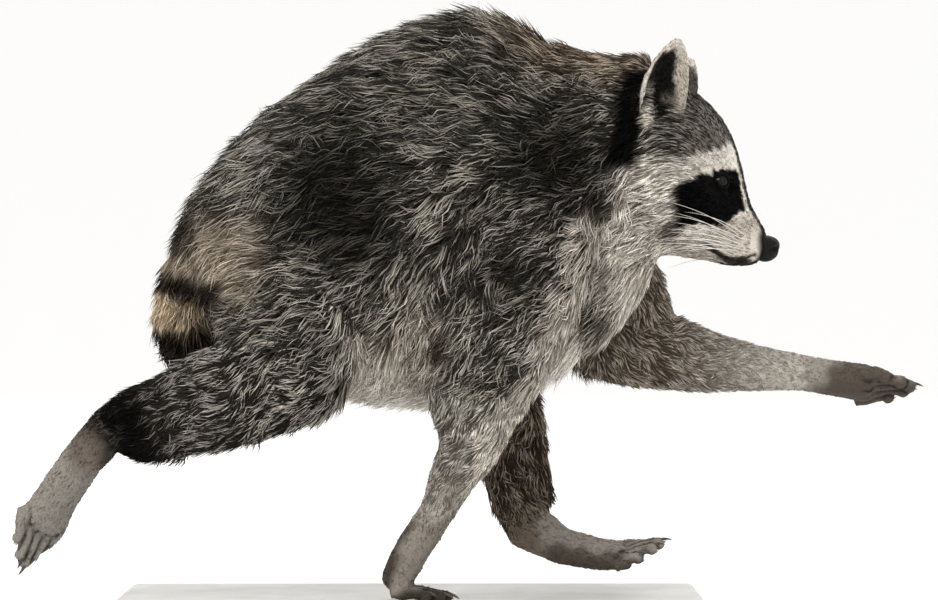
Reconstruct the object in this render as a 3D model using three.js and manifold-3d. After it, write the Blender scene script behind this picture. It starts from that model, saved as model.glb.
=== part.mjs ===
// A raccoon at life size, still, in mid run. Its right forefoot is on the ground, the left one reaches
// ahead, the right hind leg trails and the left hind leg swings forward. A flat base carries it.
// Millimetres, +Z up. The animal faces +X, its right side is -Y, and the origin is the middle of the
// base's underside. Sizes are those of the coat's outline, out to the tips of the hair.
import * as THREE from "three";
import { RoundedBoxGeometry } from "three/addons/geometries/RoundedBoxGeometry.js";
import { mergeVertices } from "three/addons/utils/BufferGeometryUtils.js";
import Module from "manifold-3d";

const wasm = await Module();
wasm.setup();

// ---------------------------------------------------------------- driving dimensions
const GAP = 0.3; // clear space between two pieces
const REACH = 1200; // a block this long holds all of one side of a cut
const BASE = { length: 400, width: 220, thick: 16, corner: 4 };
const HEAD_TURN = THREE.MathUtils.degToRad(-9); // the face turns a little to its right
const HEAD_ROLL = THREE.MathUtils.degToRad(-4); // and its left ear leans out
const NECK_PIVOT = new THREE.Vector3(145, 0, 300);
const NECK_CUTS = [ // where the neck is parted from the trunk and from the head
  { at: [118, 0, 290], toward: [1, 0, 0.12] },
  { at: [160, 0, 310], toward: [1, 0, 0.1] },
];
const PEAR = { torso: 0.1, head: 0.3 }; // how much wider a section is low down than high up
const EYE = { at: [211.5, 20.5, 295.5], radius: 6, lids: 7.4, lidsOut: 4 };
const EAR = {
  at: [176, 38, 356], height: 36, wide: 18.5, deep: 11, lean: 17, splay: 12, facing: 34, taper: 0.28,
};
const EAR_HOLLOW = { wide: 0.85, deep: 1, height: 0.9, out: 0.45 }; // as shares of the ear's sizes
const NOSE = { at: [243, 0, 252.5], radii: [7.2, 8, 8.5], nostril: 2.4 };
const JAW = { hinge: [188, 0, 259], slope: 25, length: 60, depth: 40 };
const FORE_TOES = { lengths: [17, 26, 30, 29, 22], pitch: 8, spread: 0.13 }; // from the thumb outwards
const HIND_TOES = { lengths: [17, 25, 28, 27, 20], pitch: 8, spread: 0.17 };
const TOE = { radius: 4.3, pad: 5.3, padDrop: 1, overlap: 9, gather: 0.72, setBack: 2.6, sides: 6 };
const CLAW = { length: 8, radius: 1.7, point: 0.3, drop: 2.5, sides: 4 };

// Sections of the trunk and neck, from the tail to the head: the back and the belly as [x, z], and half
// the width.
const TORSO = [
  { back: [-163, 258], belly: [-109, 190], wide: 44 }, // buttocks
  { back: [-148, 294], belly: [-76, 167], wide: 62 }, // rump
  { back: [-112, 337], belly: [-51, 155], wide: 75 }, // hips
  { back: [-66, 373], belly: [-27, 148], wide: 85 }, // loins
  { back: [-17, 402], belly: [-4, 145], wide: 88 }, // belly
  { back: [34, 418], belly: [27, 145], wide: 85 }, // ribs
  { back: [75, 411], belly: [68, 152], wide: 76 }, // withers
  { back: [105, 393], belly: [107, 168], wide: 66 }, // chest
  { back: [129, 387], belly: [141, 196], wide: 57 }, // root of the neck
  { back: [156, 387], belly: [168, 237], wide: 50 }, // throat
];
// Sections of the head, from the nape to the muzzle: the crown or bridge, and the jaw.
const HEAD = [
  { back: [166, 373], belly: [133, 287], wide: 41 }, // nape
  { back: [183, 368], belly: [138, 270], wide: 48 },
  { back: [196, 359], belly: [147, 257], wide: 54 }, // ruff
  { back: [208, 348], belly: [159, 249], wide: 54 },
  { back: [217, 334], belly: [171, 246], wide: 46 }, // forehead and cheeks
  { back: [223, 319], belly: [183, 246], wide: 33 },
  { back: [227, 303], belly: [195, 244.5], wide: 25 }, // eyes
  { back: [229.5, 290], belly: [205, 242.5], wide: 19 }, // stop
  { back: [233, 279.5], belly: [215, 240.5], wide: 16.5 },
  { back: [238.5, 270], belly: [227, 240.5], wide: 14 },
  { back: [243, 262], belly: [237, 244], wide: 11.5 }, // lips
];
// Limbs and tail are rows of x, y, z, half the width across and half the depth along the profile.
const TAIL = [
  [-124, 0, 262, 21, 21],
  [-142, 3, 243, 25, 25],
  [-152, 8, 214, 27, 27.5],
  [-148, 17, 190, 26, 27.5],
  [-131, 27, 169, 23.5, 24.5],
  [-104, 37, 153, 21, 21],
  [-78, 45, 146, 14, 14],
];
const TAIL_CUTS = [2.4, 4.1]; // where the tail is parted, in rows from its root
const LEGS = {
  front_right: {
    parts: ["upper_arm", "forearm", "hand"],
    upper: [
      [100, -40, 306, 21, 38],
      [86, -58, 255, 30, 43],
      [63, -57, 198, 29, 43],
      [43, -55, 161, 24, 40],
    ],
    lower: [
      [45, -55, 158, 24, 37],
      [42, -52, 125, 20, 24.5],
      [31, -48, 104, 16.5, 17.5],
      [19.5, -44, 78, 13.5, 13],
      [11, -42, 66, 12.5, 12.5],
    ],
    palm: [
      [14, -42, 69, 12.5, 12.8],
      [0, -39, 48, 14.5, 12.5],
      [-8, -37, 29, 17, 12],
    ],
    dorsal: [1, -0.1, 0.35],
    toes: { ahead: [1, 0, -0.1], from: [-1, -36, 22.5], dorsal: [0.1, 0, 1], form: FORE_TOES },
    thumb: 1,
  },
  front_left: {
    parts: ["upper_arm", "forearm", "hand"],
    upper: [
      [107, 38, 292, 21, 37],
      [131, 56, 240, 28, 40],
      [149, 53, 202, 26, 36],
    ],
    lower: [
      [127, 52, 193, 23, 29],
      [158, 51, 187.5, 25, 32],
      [190, 47, 178, 20.5, 25.5],
      [221, 45, 173, 17, 20],
      [249, 42, 169.5, 14, 16],
      [275, 40, 168, 12, 13.8],
    ],
    palm: [
      [268, 40, 168, 12, 13.8],
      [292, 38.5, 164, 14.5, 12.5],
      [315, 37, 160.5, 17, 11.5],
    ],
    dorsal: [0.1, 0.62, 0.78],
    toes: { ahead: [1, 0, 0.02], from: [319, 37, 158.5], dorsal: [0.1, 0.62, 0.78], form: FORE_TOES },
    thumb: -1,
  },
  hind_right: {
    parts: ["thigh", "shank", "foot"],
    upper: [
      [-90, -34, 264, 26, 50],
      [-77, -57, 213, 36, 50],
      [-62, -62, 180, 31, 40],
    ],
    lower: [
      [-66, -62, 176, 30, 41],
      [-115, -62, 157, 26, 40],
      [-148, -58, 144.5, 22, 34],
      [-175, -54, 136, 18, 29],
      [-199, -50, 129, 14, 21.5],
    ],
    palm: [
      [-197, -50, 134, 15, 17],
      [-217, -48, 112, 15, 13],
      [-234, -46.5, 87, 16.5, 11.5],
      [-245, -46, 68, 19, 11],
    ],
    dorsal: [0.5, -0.8, -0.35],
    toes: { ahead: [-0.38, 0, -0.92], from: [-247, -46, 65], dorsal: [0.5, -0.8, -0.3], form: HIND_TOES },
    thumb: 1,
  },
  hind_left: {
    parts: ["thigh", "shank", "foot"],
    upper: [
      [-62, 36, 250, 28, 54],
      [0, 58, 206, 34, 46],
      [50, 61, 179, 30, 36],
    ],
    lower: [
      [50, 61, 180, 28, 34],
      [64, 58, 141, 24, 30.5],
      [71, 54, 107, 20, 28],
      [77, 49, 80, 16, 25],
      [81, 46, 63, 13, 20],
    ],
    palm: [
      [79, 46, 63, 13, 19],
      [98, 43, 50, 13.5, 14],
      [118, 41, 44, 14, 12.6],
      [138, 40, 41, 15.5, 11],
      [149, 39.5, 41.5, 16.5, 10],
    ],
    dorsal: [0.1, -0.2, 1],
    toes: { ahead: [1, 0, 0.34], from: [149, 39.5, 42.5], dorsal: [-0.3, -0.33, 1], form: HIND_TOES },
    thumb: -1,
  },
};

const MATERIALS = {
  coat: { color: "#4c4a45", roughness: 0.9, metalness: 0 },
  limbs: { color: "#77726a", roughness: 0.9, metalness: 0 },
  face: { color: "#8d8a83", roughness: 0.9, metalness: 0 },
  tail: { color: "#6b5f50", roughness: 0.9, metalness: 0 },
  nose: { color: "#171615", roughness: 0.45, metalness: 0 },
  eye: { color: "#0c0908", roughness: 0.08, metalness: 0 },
  stand: { color: "#d9d7d2", roughness: 0.5, metalness: 0 },
};

// ---------------------------------------------------------------- tools
const SIDEWAYS = new THREE.Vector3(0, 1, 0);
const vec = ([x, y, z]) => new THREE.Vector3(x, y, z);
const mirrored = ([x, y, z], side) => new THREE.Vector3(x, side * y, z);

// A closed three.js geometry as a manifold-3d solid.
function solidOf(geometry) {
  const bare = new THREE.BufferGeometry();
  bare.setAttribute("position", geometry.getAttribute("position"));
  bare.setIndex(geometry.index);
  const merged = mergeVertices(bare, 1e-4);
  return new wasm.Manifold(
    new wasm.Mesh({
      numProp: 3,
      vertProperties: new Float32Array(merged.getAttribute("position").array),
      triVerts: new Uint32Array(merged.index.array),
    }),
  );
}

// A manifold-3d solid as a three.js geometry.
function geometryOf(solid) {
  const { vertProperties, triVerts } = solid.getMesh();
  const geometry = new THREE.BufferGeometry();
  geometry.setAttribute("position", new THREE.BufferAttribute(vertProperties, 3));
  geometry.setIndex(new THREE.BufferAttribute(triVerts, 1));
  geometry.computeVertexNormals();
  return geometry;
}

const joined = (solids) => solids.reduce((sum, one) => sum.add(one));
const without = (solid, others) => others.reduce((left, one) => left.subtract(one), solid);

// All that lies past a point in a direction, less half the gap.
function past(point, direction) {
  const along = direction.clone().normalize();
  const block = new THREE.BoxGeometry(REACH, REACH, REACH);
  block.applyQuaternion(new THREE.Quaternion().setFromUnitVectors(new THREE.Vector3(0, 0, 1), along));
  const middle = point.clone().addScaledVector(along, REACH / 2 + GAP / 2);
  return solidOf(block.translate(middle.x, middle.y, middle.z));
}

// Parts a solid at a point: [what lies before it, what lies past it].
function parted(solid, point, direction) {
  const back = direction.clone().negate();
  return [solid.intersect(past(point, back)), solid.intersect(past(point, direction))];
}

// A closed body over rings of { centre, across, up }, where across and up reach to the ring's sides. Its
// ends are domes, each as long as its share of the end ring's half depth. A pear above 0 makes a ring
// wider below its centre.
function bodyOver(rings, { sides, domes, domeRings = 2, pear = 0 }) {
  const domed = (ring, outward, share) =>
    Array.from({ length: domeRings }, (_, i) => {
      const angle = ((i + 1) / (domeRings + 1)) * (Math.PI / 2);
      return {
        centre: ring.centre.clone().addScaledVector(outward, share * ring.up.length() * Math.sin(angle)),
        across: ring.across.clone().multiplyScalar(Math.cos(angle)),
        up: ring.up.clone().multiplyScalar(Math.cos(angle)),
      };
    });
  const last = rings.length - 1;
  const outward = [
    rings[0].centre.clone().sub(rings[1].centre).normalize(),
    rings[last].centre.clone().sub(rings[last - 1].centre).normalize(),
  ];
  const all = [
    ...domed(rings[0], outward[0], domes[0]).reverse(),
    ...rings,
    ...domed(rings[last], outward[1], domes[1]),
  ];
  const poles = [rings[0], rings[last]].map((ring, end) =>
    ring.centre.clone().addScaledVector(outward[end], domes[end] * ring.up.length()),
  );
  const points = all.flatMap((ring) =>
    Array.from({ length: sides }, (_, i) => {
      const angle = (i / sides) * 2 * Math.PI;
      const wide = Math.cos(angle) * (1 - pear * Math.sin(angle));
      return ring.centre.clone().addScaledVector(ring.across, wide).addScaledVector(ring.up, Math.sin(angle));
    }),
  );
  const faces = [];
  for (let r = 0; r + 1 < all.length; r++) {
    for (let i = 0; i < sides; i++) {
      const [a, b] = [r * sides + i, r * sides + ((i + 1) % sides)];
      faces.push(a, b, a + sides, b, b + sides, a + sides);
    }
  }
  const [first, end] = [points.length, points.length + 1];
  const top = (all.length - 1) * sides;
  for (let i = 0; i < sides; i++) {
    const next = (i + 1) % sides;
    faces.push(next, i, first, top + i, top + next, end);
  }
  const geometry = new THREE.BufferGeometry().setFromPoints([...points, ...poles]);
  geometry.setIndex(faces);
  return geometry;
}

const smooth = (points) => new THREE.CatmullRomCurve3(points, false, "catmullrom", 0.5);

// Rings from sections of a profile, at equal shares from the first section to the last.
function profileRings(sections, steps, grow) {
  const back = smooth(sections.map((s) => new THREE.Vector3(s.back[0], 0, s.back[1])));
  const belly = smooth(sections.map((s) => new THREE.Vector3(s.belly[0], 0, s.belly[1])));
  const wide = smooth(sections.map((s) => new THREE.Vector3(s.wide, 0, 0)));
  return Array.from({ length: steps + 1 }, (_, i) => {
    const [high, low] = [back.getPoint(i / steps), belly.getPoint(i / steps)];
    const up = high.clone().sub(low).multiplyScalar(0.5);
    return {
      centre: high.clone().add(low).multiplyScalar(0.5),
      across: SIDEWAYS.clone().multiplyScalar(wide.getPoint(i / steps).x + grow),
      up: up.setLength(up.length() + grow),
    };
  });
}

// Rings square to a path of [x, y, z, half width, half depth]. side is the way that the width runs.
function limbRings(stations, steps, side, grow) {
  const path = smooth(stations.map(vec));
  const girth = smooth(stations.map(([, , , wide, deep]) => new THREE.Vector3(wide, deep, 0)));
  return Array.from({ length: steps + 1 }, (_, i) => {
    const tangent = path.getTangent(i / steps);
    const across = side.clone().addScaledVector(tangent, -side.dot(tangent)).normalize();
    const size = girth.getPoint(i / steps);
    return {
      centre: path.getPoint(i / steps),
      across: across.clone().multiplyScalar(size.x + grow),
      up: tangent.clone().cross(across).multiplyScalar(size.y + grow),
    };
  });
}

function limb(stations, { steps, sides, side = SIDEWAYS, domes = [0.7, 0.7], domeRings, grow = 0 }) {
  return solidOf(bodyOver(limbRings(stations, steps, side, grow), { sides, domes, domeRings }));
}

function ellipsoid(radii, columns, rows) {
  return new THREE.SphereGeometry(1, columns, rows).scale(...radii);
}

// ---------------------------------------------------------------- head
const HEAD_POSE = new THREE.Matrix4()
  .makeTranslation(NECK_PIVOT)
  .multiply(new THREE.Matrix4().makeRotationZ(HEAD_TURN))
  .multiply(new THREE.Matrix4().makeRotationX(HEAD_ROLL))
  .multiply(new THREE.Matrix4().makeTranslation(NECK_PIVOT.clone().negate()));
const posed = (geometry) => solidOf(geometry.applyMatrix4(HEAD_POSE));

function headForm(grow) {
  return posed(bodyOver(profileRings(HEAD, 14, grow), { sides: 20, domes: [0.5, 0.4], pear: PEAR.head }));
}

function ball(at, radius) {
  return posed(new THREE.SphereGeometry(radius, 10, 7).translate(at.x, at.y, at.z));
}

// The opening between the lids, which lets the eye show.
function eyeOpening(side) {
  const outward = new THREE.Vector3(0.6, 0.8 * side, 0.1).normalize();
  return ball(mirrored(EYE.at, side).addScaledVector(outward, EYE.lidsOut), EYE.lids);
}

// An egg-shaped shell with its tip up, hollowed towards the outside and the front.
function ear(side) {
  const ROWS = 9;
  const profile = Array.from({ length: ROWS + 1 }, (_, i) => {
    const height = Math.cos((1 - i / ROWS) * Math.PI);
    const radius = Math.sqrt(1 - height * height) * (1 - EAR.taper * height);
    return new THREE.Vector2(i % ROWS ? radius : 0, height);
  });
  const egg = () => new THREE.LatheGeometry(profile, 12).rotateX(Math.PI / 2);
  const { height, wide, deep } = EAR;
  const [lean, splay, facing] = [EAR.lean, EAR.splay, EAR.facing].map(THREE.MathUtils.degToRad);
  const outer = egg().scale(wide, deep, height);
  const inner = egg().scale(wide * EAR_HOLLOW.wide, deep * EAR_HOLLOW.deep, height * EAR_HOLLOW.height);
  inner.translate(0, -deep * EAR_HOLLOW.out, 0);
  const place = (geometry) => {
    geometry.rotateZ(facing).rotateY(lean).rotateX(splay).translate(EAR.at[0], -EAR.at[1], EAR.at[2]);
    if (side > 0) {
      geometry.scale(1, -1, 1);
      geometry.setIndex(Array.from(geometry.index.array).reverse());
    }
    return posed(geometry);
  };
  return place(outer).subtract(place(inner));
}

function nose(grow) {
  const radii = NOSE.radii.map((radius) => radius + grow);
  return posed(ellipsoid(radii, 10, 7).translate(...NOSE.at));
}

function nostril(side) {
  const { at, radii, nostril: radius } = NOSE;
  const middle = [at[0] + radii[0] * 0.72, side * radii[1] * 0.58, at[2] - 0.5];
  return posed(new THREE.SphereGeometry(radius, 6, 4).translate(...middle));
}

// The block below the line of the mouth and ahead of the jaw's root.
function jawBlock(grow) {
  const { length, depth, slope, hinge } = JAW;
  const block = new THREE.BoxGeometry(length + grow, 2 * depth, depth + grow);
  block.translate((length - grow) / 2, 0, (grow - depth) / 2);
  return posed(block.rotateY(THREE.MathUtils.degToRad(slope)).translate(...hinge));
}

// ---------------------------------------------------------------- trunk, neck and tail
function torsoForm(grow) {
  const rings = profileRings(TORSO, 15, grow);
  return solidOf(bodyOver(rings, { sides: 24, domes: [0.25, 0.3], pear: PEAR.torso }));
}

// The tail in its lengths, each parted square to its path.
function tailLengths(others) {
  const path = smooth(TAIL.map(vec));
  const lengths = [];
  let rest = without(limb(TAIL, { steps: 10, sides: 10, domes: [0.3, 1.2] }), others);
  for (const cut of TAIL_CUTS) {
    const share = cut / (TAIL.length - 1);
    const [length, beyond] = parted(rest, path.getPoint(share), path.getTangent(share));
    lengths.push(length);
    rest = beyond;
  }
  return [...lengths, rest];
}

// ---------------------------------------------------------------- legs
// Five toes with claws, from the thumb's side outwards. thumb is the side, along Y, that the thumb is on.
function toes({ ahead, from, dorsal, form }, thumb) {
  const along = vec(ahead).normalize();
  const up = vec(dorsal).addScaledVector(along, -vec(dorsal).dot(along)).normalize();
  const outward = up.clone().cross(along).multiplyScalar(-thumb);
  const middle = (form.lengths.length - 1) / 2;
  return form.lengths.flatMap((length, i) => {
    const offset = i - middle;
    const knuckle = vec(from)
      .addScaledVector(outward, offset * form.pitch)
      .addScaledVector(along, -Math.abs(offset) * TOE.setBack);
    const root = vec(from)
      .addScaledVector(outward, offset * form.pitch * TOE.gather)
      .addScaledVector(along, -TOE.overlap);
    const way = along.clone().applyAxisAngle(up, offset * thumb * form.spread).normalize();
    const at = (distance, rise) => knuckle.clone().addScaledVector(way, distance).addScaledVector(up, rise);
    const station = (point, radius) => [...point.toArray(), radius, radius];
    const bones = [
      station(root, TOE.radius),
      station(at(length * 0.45, 1), TOE.radius),
      station(at(length - TOE.pad, -TOE.padDrop), TOE.pad),
    ];
    const claw = [
      station(at(length - 3, 1), CLAW.radius),
      station(at(length + CLAW.length / 2, 1), CLAW.radius * 0.8),
      station(at(length + CLAW.length, 1 - CLAW.drop), CLAW.point),
    ];
    return [
      limb(bones, { steps: 2, sides: TOE.sides, side: outward, domes: [0, 0.9], domeRings: 1 }),
      limb(claw, { steps: 2, sides: CLAW.sides, side: outward, domes: [0.2, 0.6], domeRings: 0 }),
    ];
  });
}

// The three forms of a leg, before it is parted.
function legForms({ upper, lower, palm, dorsal, toes: toeSet, thumb }, grow) {
  const direction = vec(palm.at(-1)).sub(vec(palm[0])).normalize();
  const side = vec(dorsal).cross(direction).normalize();
  const palmForm = limb(palm, { steps: 3, sides: 8, side, domes: [0.5, 0.5], grow });
  return {
    upper: limb(upper, { steps: 4, sides: 12, grow }),
    lower: limb(lower, { steps: 6, sides: 10, grow }),
    paw: joined([palmForm, ...toes(toeSet, thumb)]),
  };
}

// Cuts a leg square across its middle joint and its last one.
function legParts(name, legForm, others) {
  const { upper, lower, palm, parts } = legForm;
  const form = legForms(legForm, 0);
  const way = (from, to) => vec(to).sub(vec(from)).normalize();
  const middle = vec(lower[0]).lerp(vec(upper.at(-1)), 0.5);
  const across = way(upper.at(-2), upper.at(-1)).add(way(lower[0], lower[1]));
  const [high, rest] = parted(joined([form.upper, form.lower]), middle, across);
  const end = vec(palm[0]).lerp(vec(lower.at(-1)), 0.5);
  const last = way(lower.at(-2), lower.at(-1)).add(way(palm[0], palm[1]));
  const [low] = parted(rest, end, last);
  const paw = form.paw.intersect(past(end, last));
  const solids = [high, low, paw].map((one) => without(one, others));
  return parts.map((part, i) => [part + "_" + name, solids[i]]);
}

// ---------------------------------------------------------------- the whole animal on its base
function largest(solid) {
  return solid.decompose().reduce((best, one) => (one.volume() > best.volume() ? one : best));
}

function nodes() {
  const cutAt = (solid, { at, toward }) => parted(solid, vec(at), vec(toward));
  const [trunk, throat] = cutAt(torsoForm(0), NECK_CUTS[0]);
  const [, nape] = cutAt(headForm(0), NECK_CUTS[0]);
  const [neck, front] = cutAt(throat.add(nape), NECK_CUTS[1]);
  const sockets = [-1, 1].flatMap((side) => [
    ball(mirrored(EYE.at, side), EYE.radius + GAP),
    eyeOpening(side),
  ]);
  const skull = without(front, [nose(GAP), ...sockets]);
  const flesh = [torsoForm(GAP), headForm(GAP)];
  const aboveBase = past(new THREE.Vector3(0, 0, BASE.thick + GAP / 2), new THREE.Vector3(0, 0, 1));
  const found = [
    ["trunk", trunk, "coat"],
    ["neck", neck, "coat"],
    ["head", skull.subtract(jawBlock(GAP)), "face"],
    ["jaw", skull.intersect(jawBlock(0)), "face"],
    ["nose", without(nose(0), [-1, 1].map(nostril)), "nose"],
  ];
  const tail = tailLengths([flesh[0], legForms(LEGS.hind_right, GAP).upper]);
  ["root", "middle", "tip"].forEach((part, i) => found.push(["tail_" + part, tail[i], "tail"]));
  for (const [name, side] of [["right", -1], ["left", 1]]) {
    found.push(["eye_" + name, ball(mirrored(EYE.at, side), EYE.radius), "eye"]);
    found.push(["ear_" + name, without(ear(side), flesh), "face"]);
  }
  for (const [name, form] of Object.entries(LEGS)) {
    for (const [part, solid] of legParts(name, form, flesh)) {
      found.push([part, solid.intersect(aboveBase), "limbs"]);
    }
  }
  return found;
}

function meshOf(name, solid, material) {
  const mesh = new THREE.Mesh(geometryOf(solid), new THREE.MeshStandardMaterial(MATERIALS[material]));
  mesh.name = name;
  return mesh;
}

function base() {
  const { length, width, thick, corner } = BASE;
  const geometry = new RoundedBoxGeometry(length, width, thick, 1, corner);
  const mesh = new THREE.Mesh(geometry, new THREE.MeshStandardMaterial(MATERIALS.stand));
  mesh.name = "stand_base";
  mesh.position.set(0, 0, thick / 2);
  return mesh;
}

const raccoon = new THREE.Group();
for (const [name, solid, material] of nodes()) raccoon.add(meshOf(name, largest(solid), material));
raccoon.add(base());

export default raccoon;
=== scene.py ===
import math
import time

import bmesh
import bpy
import numpy as np
from mathutils import Matrix, Vector
from mathutils.kdtree import KDTree


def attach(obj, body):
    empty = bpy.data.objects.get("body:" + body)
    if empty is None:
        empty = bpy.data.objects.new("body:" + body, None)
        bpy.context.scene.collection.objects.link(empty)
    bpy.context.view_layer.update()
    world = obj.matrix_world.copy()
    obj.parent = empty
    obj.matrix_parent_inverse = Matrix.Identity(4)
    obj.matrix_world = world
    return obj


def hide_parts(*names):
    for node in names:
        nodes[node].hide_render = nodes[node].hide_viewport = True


# A running raccoon at life size. One skin replaces the solids of flesh, and tufts of hair grow from it.
# Lengths named in millimetres are turned into metres with MM.
START = time.time()
MM = 0.001
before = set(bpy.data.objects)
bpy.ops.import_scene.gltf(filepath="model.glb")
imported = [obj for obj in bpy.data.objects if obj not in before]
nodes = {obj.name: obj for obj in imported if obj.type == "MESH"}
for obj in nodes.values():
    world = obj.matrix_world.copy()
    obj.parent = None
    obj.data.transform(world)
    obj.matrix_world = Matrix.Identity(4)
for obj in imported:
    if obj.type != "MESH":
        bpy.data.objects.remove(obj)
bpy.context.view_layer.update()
scene = bpy.context.scene


def said(words):
    print(f"[{time.time() - START:6.1f} s] {words}", flush=True)


# ---------------------------------------------------------------- camera, light and floor
def linear(r, g, b):
    """A colour given as the eye sees it, 0 to 255, in the numbers that light uses."""
    c = np.array([r, g, b], float) / 255
    return np.where(c <= 0.04045, c / 12.92, ((c + 0.055) / 1.055) ** 2.4)


def placed(name, data):
    """A new object in the scene."""
    thing = bpy.data.objects.new(name, data)
    scene.collection.objects.link(thing)
    return thing


def mesh_of(bm, name):
    """A new mesh from a bmesh, which is freed."""
    mesh = bpy.data.meshes.new(name)
    bm.to_mesh(mesh)
    bm.free()
    return mesh


CAMERA_AT, LENS = (0.040, -2.2, 0.218), 124.17  # metres and millimetres, framed as the photograph is
LAMPS = [  # name, place, size, power and colour
    ("key", (-1.1, -2.6, 2.8), 1.4, 62, (1.0, 0.98, 0.95)),
    ("fill", (2.6, -2.6, 1.4), 2.4, 20, (0.98, 0.99, 1.0)),
    ("back", (0.4, 2.8, 2.6), 2.4, 30, (1.0, 1.0, 1.0)),
]
LAMPS_AIM = Vector((0, 0, 0.22))
WORLD_COLOUR, WORLD_STRENGTH = (1.0, 0.995, 0.985, 1), 1.05


def camera_and_light():
    camera = placed("camera", bpy.data.cameras.new("camera"))
    camera.data.lens = LENS
    camera.data.clip_end = 60
    camera.location = CAMERA_AT
    camera.rotation_euler = (math.radians(90), 0, 0)
    scene.camera = camera
    for name, place, size, power, colour in LAMPS:
        light = placed(name, bpy.data.lights.new(name, "AREA"))
        light.data.size = size
        light.data.energy = power
        light.data.color = colour
        light.location = place
        light.rotation_euler = (LAMPS_AIM - Vector(place)).to_track_quat("-Z", "Y").to_euler()
        light.visible_camera = False
    scene.world = bpy.data.worlds.new("studio")
    scene.world.use_nodes = True
    background = scene.world.node_tree.nodes["Background"]
    background.inputs["Color"].default_value = WORLD_COLOUR
    background.inputs["Strength"].default_value = WORLD_STRENGTH
    scene.view_settings.view_transform = "Standard"


def floor(sides=96):
    """A flat disc that sweeps up gently a long way behind everything."""
    rings = [(r, 0.0) for r in (0.001, 0.5, 2.0, 6.0)]
    rings += [(6 + 24 * t, 9 * t ** 1.7) for t in np.linspace(0.06, 1, 14)]
    turns = [2 * math.pi * i / sides for i in range(sides)]
    bm = bmesh.new()
    loops = [[bm.verts.new((r * math.cos(a), r * math.sin(a), z)) for a in turns] for r, z in rings]
    for a, b in zip(loops, loops[1:]):
        for i in range(sides):
            bm.faces.new((a[i], b[i], b[(i + 1) % sides], a[(i + 1) % sides]))
    piece = placed("floor", mesh_of(bm, "floor"))
    smooth_faces(piece.data)
    material = bpy.data.materials.new("floor")
    material.use_nodes = True
    shader = material.node_tree.nodes["Principled BSDF"]
    shader.inputs["Base Color"].default_value = (0.93, 0.93, 0.925, 1)
    shader.inputs["Roughness"].default_value = 0.9
    piece.data.materials.append(material)


def smooth_faces(mesh):
    mesh.polygons.foreach_set("use_smooth", [True] * len(mesh.polygons))


# ---------------------------------------------------------------- meshes as arrays
def read(items, what, width, kind=np.int32):
    """One value of every item of a mesh, as rows."""
    flat = np.empty(len(items) * width, kind)
    items.foreach_get(what, flat)
    return flat.reshape(-1, width)


class Form:
    """A mesh as arrays: its points, edges, triangles and the triangles' corners."""

    def __init__(self, mesh):
        mesh.calc_loop_triangles()
        self.points = read(mesh.vertices, "co", 3, np.float32).astype(float)
        self.edges = read(mesh.edges, "vertices", 2)
        self.tris = read(mesh.loop_triangles, "vertices", 3)
        self.loops = read(mesh.loop_triangles, "loops", 3)
        count = np.bincount(self.edges.ravel(), minlength=len(self.points))  # of each point's neighbours
        self.count = np.maximum(count, 1).astype(float)

    def around(self, values):
        """The mean of each point's neighbours' values."""
        a, b = self.edges.T
        if values.ndim == 1:
            n = len(values)
            return (np.bincount(a, values[b], n) + np.bincount(b, values[a], n)) / self.count
        return np.stack([self.around(column) for column in values.T], 1)

    def smooth(self, values, times, share=1.0):
        """Values evened out with their neighbours'. share may differ from point to point."""
        if values.ndim > 1 and isinstance(share, np.ndarray):
            share = share[:, None]
        for _ in range(times):
            values = values + (self.around(values) - values) * share * 0.6
        return values

    def normals(self, points=None):
        p = self.points if points is None else points
        a, b, c = (p[self.tris[:, i]] for i in range(3))
        n = np.cross(b - a, c - a)
        return unit(np.stack([sum(np.bincount(self.tris[:, i], n[:, k], len(p)) for i in range(3))
                              for k in range(3)], 1))


def unit(v):
    return v / np.maximum(np.linalg.norm(v, axis=-1, keepdims=True), 1e-12)


def ramp(x, low, high):
    """0 below low, 1 above high, and a smooth step between them. low may be above high."""
    t = np.clip((x - low) / (high - low), 0, 1)
    return t * t * (3 - 2 * t)


def new_piece(name, mesh, body="root"):
    piece = placed(name, mesh)
    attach(piece, body)
    return piece


def evaluated(obj):
    """The object's mesh with its modifiers applied."""
    graph = bpy.context.evaluated_depsgraph_get()
    return bpy.data.meshes.new_from_object(obj.evaluated_get(graph))


# ---------------------------------------------------------------- named places of the animal
HEAD_TURN, HEAD_ROLL = math.radians(-9), math.radians(-4)
NECK_PIVOT = Vector((145, 0, 300)) * MM
HEAD_POSE = (Matrix.Translation(NECK_PIVOT) @ Matrix.Rotation(HEAD_TURN, 4, "Z")
             @ Matrix.Rotation(HEAD_ROLL, 4, "X") @ Matrix.Translation(-NECK_PIVOT))
HEAD_ROTATION = np.array(HEAD_POSE.to_3x3())
EYE_AT, EYE_RADIUS, SOCKET = np.array([211.5, 20.5, 295.5]) * MM, 6 * MM, 8.2 * MM
EAR_AT = np.array([176, 38, 356]) * MM


def of_head(points):
    """Places in the head's own frame, in which it looks along +X and its two sides mirror each other."""
    return (points - np.array(NECK_PIVOT)) @ HEAD_ROTATION + np.array(NECK_PIVOT)


def from_head(points):
    return (np.asarray(points) - np.array(NECK_PIVOT)) @ HEAD_ROTATION.T + np.array(NECK_PIVOT)


FLESH = ["trunk", "neck", "head", "jaw", "ear_right", "ear_left", "tail_root", "tail_middle", "tail_tip"]
for end_, parts_ in (("front", ("upper_arm", "forearm", "hand")), ("hind", ("thigh", "shank", "foot"))):
    FLESH += [f"{part}_{end_}_{side}" for side in ("right", "left") for part in parts_]
PAWS = [n for n in FLESH if n.startswith(("hand", "foot"))]

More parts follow.
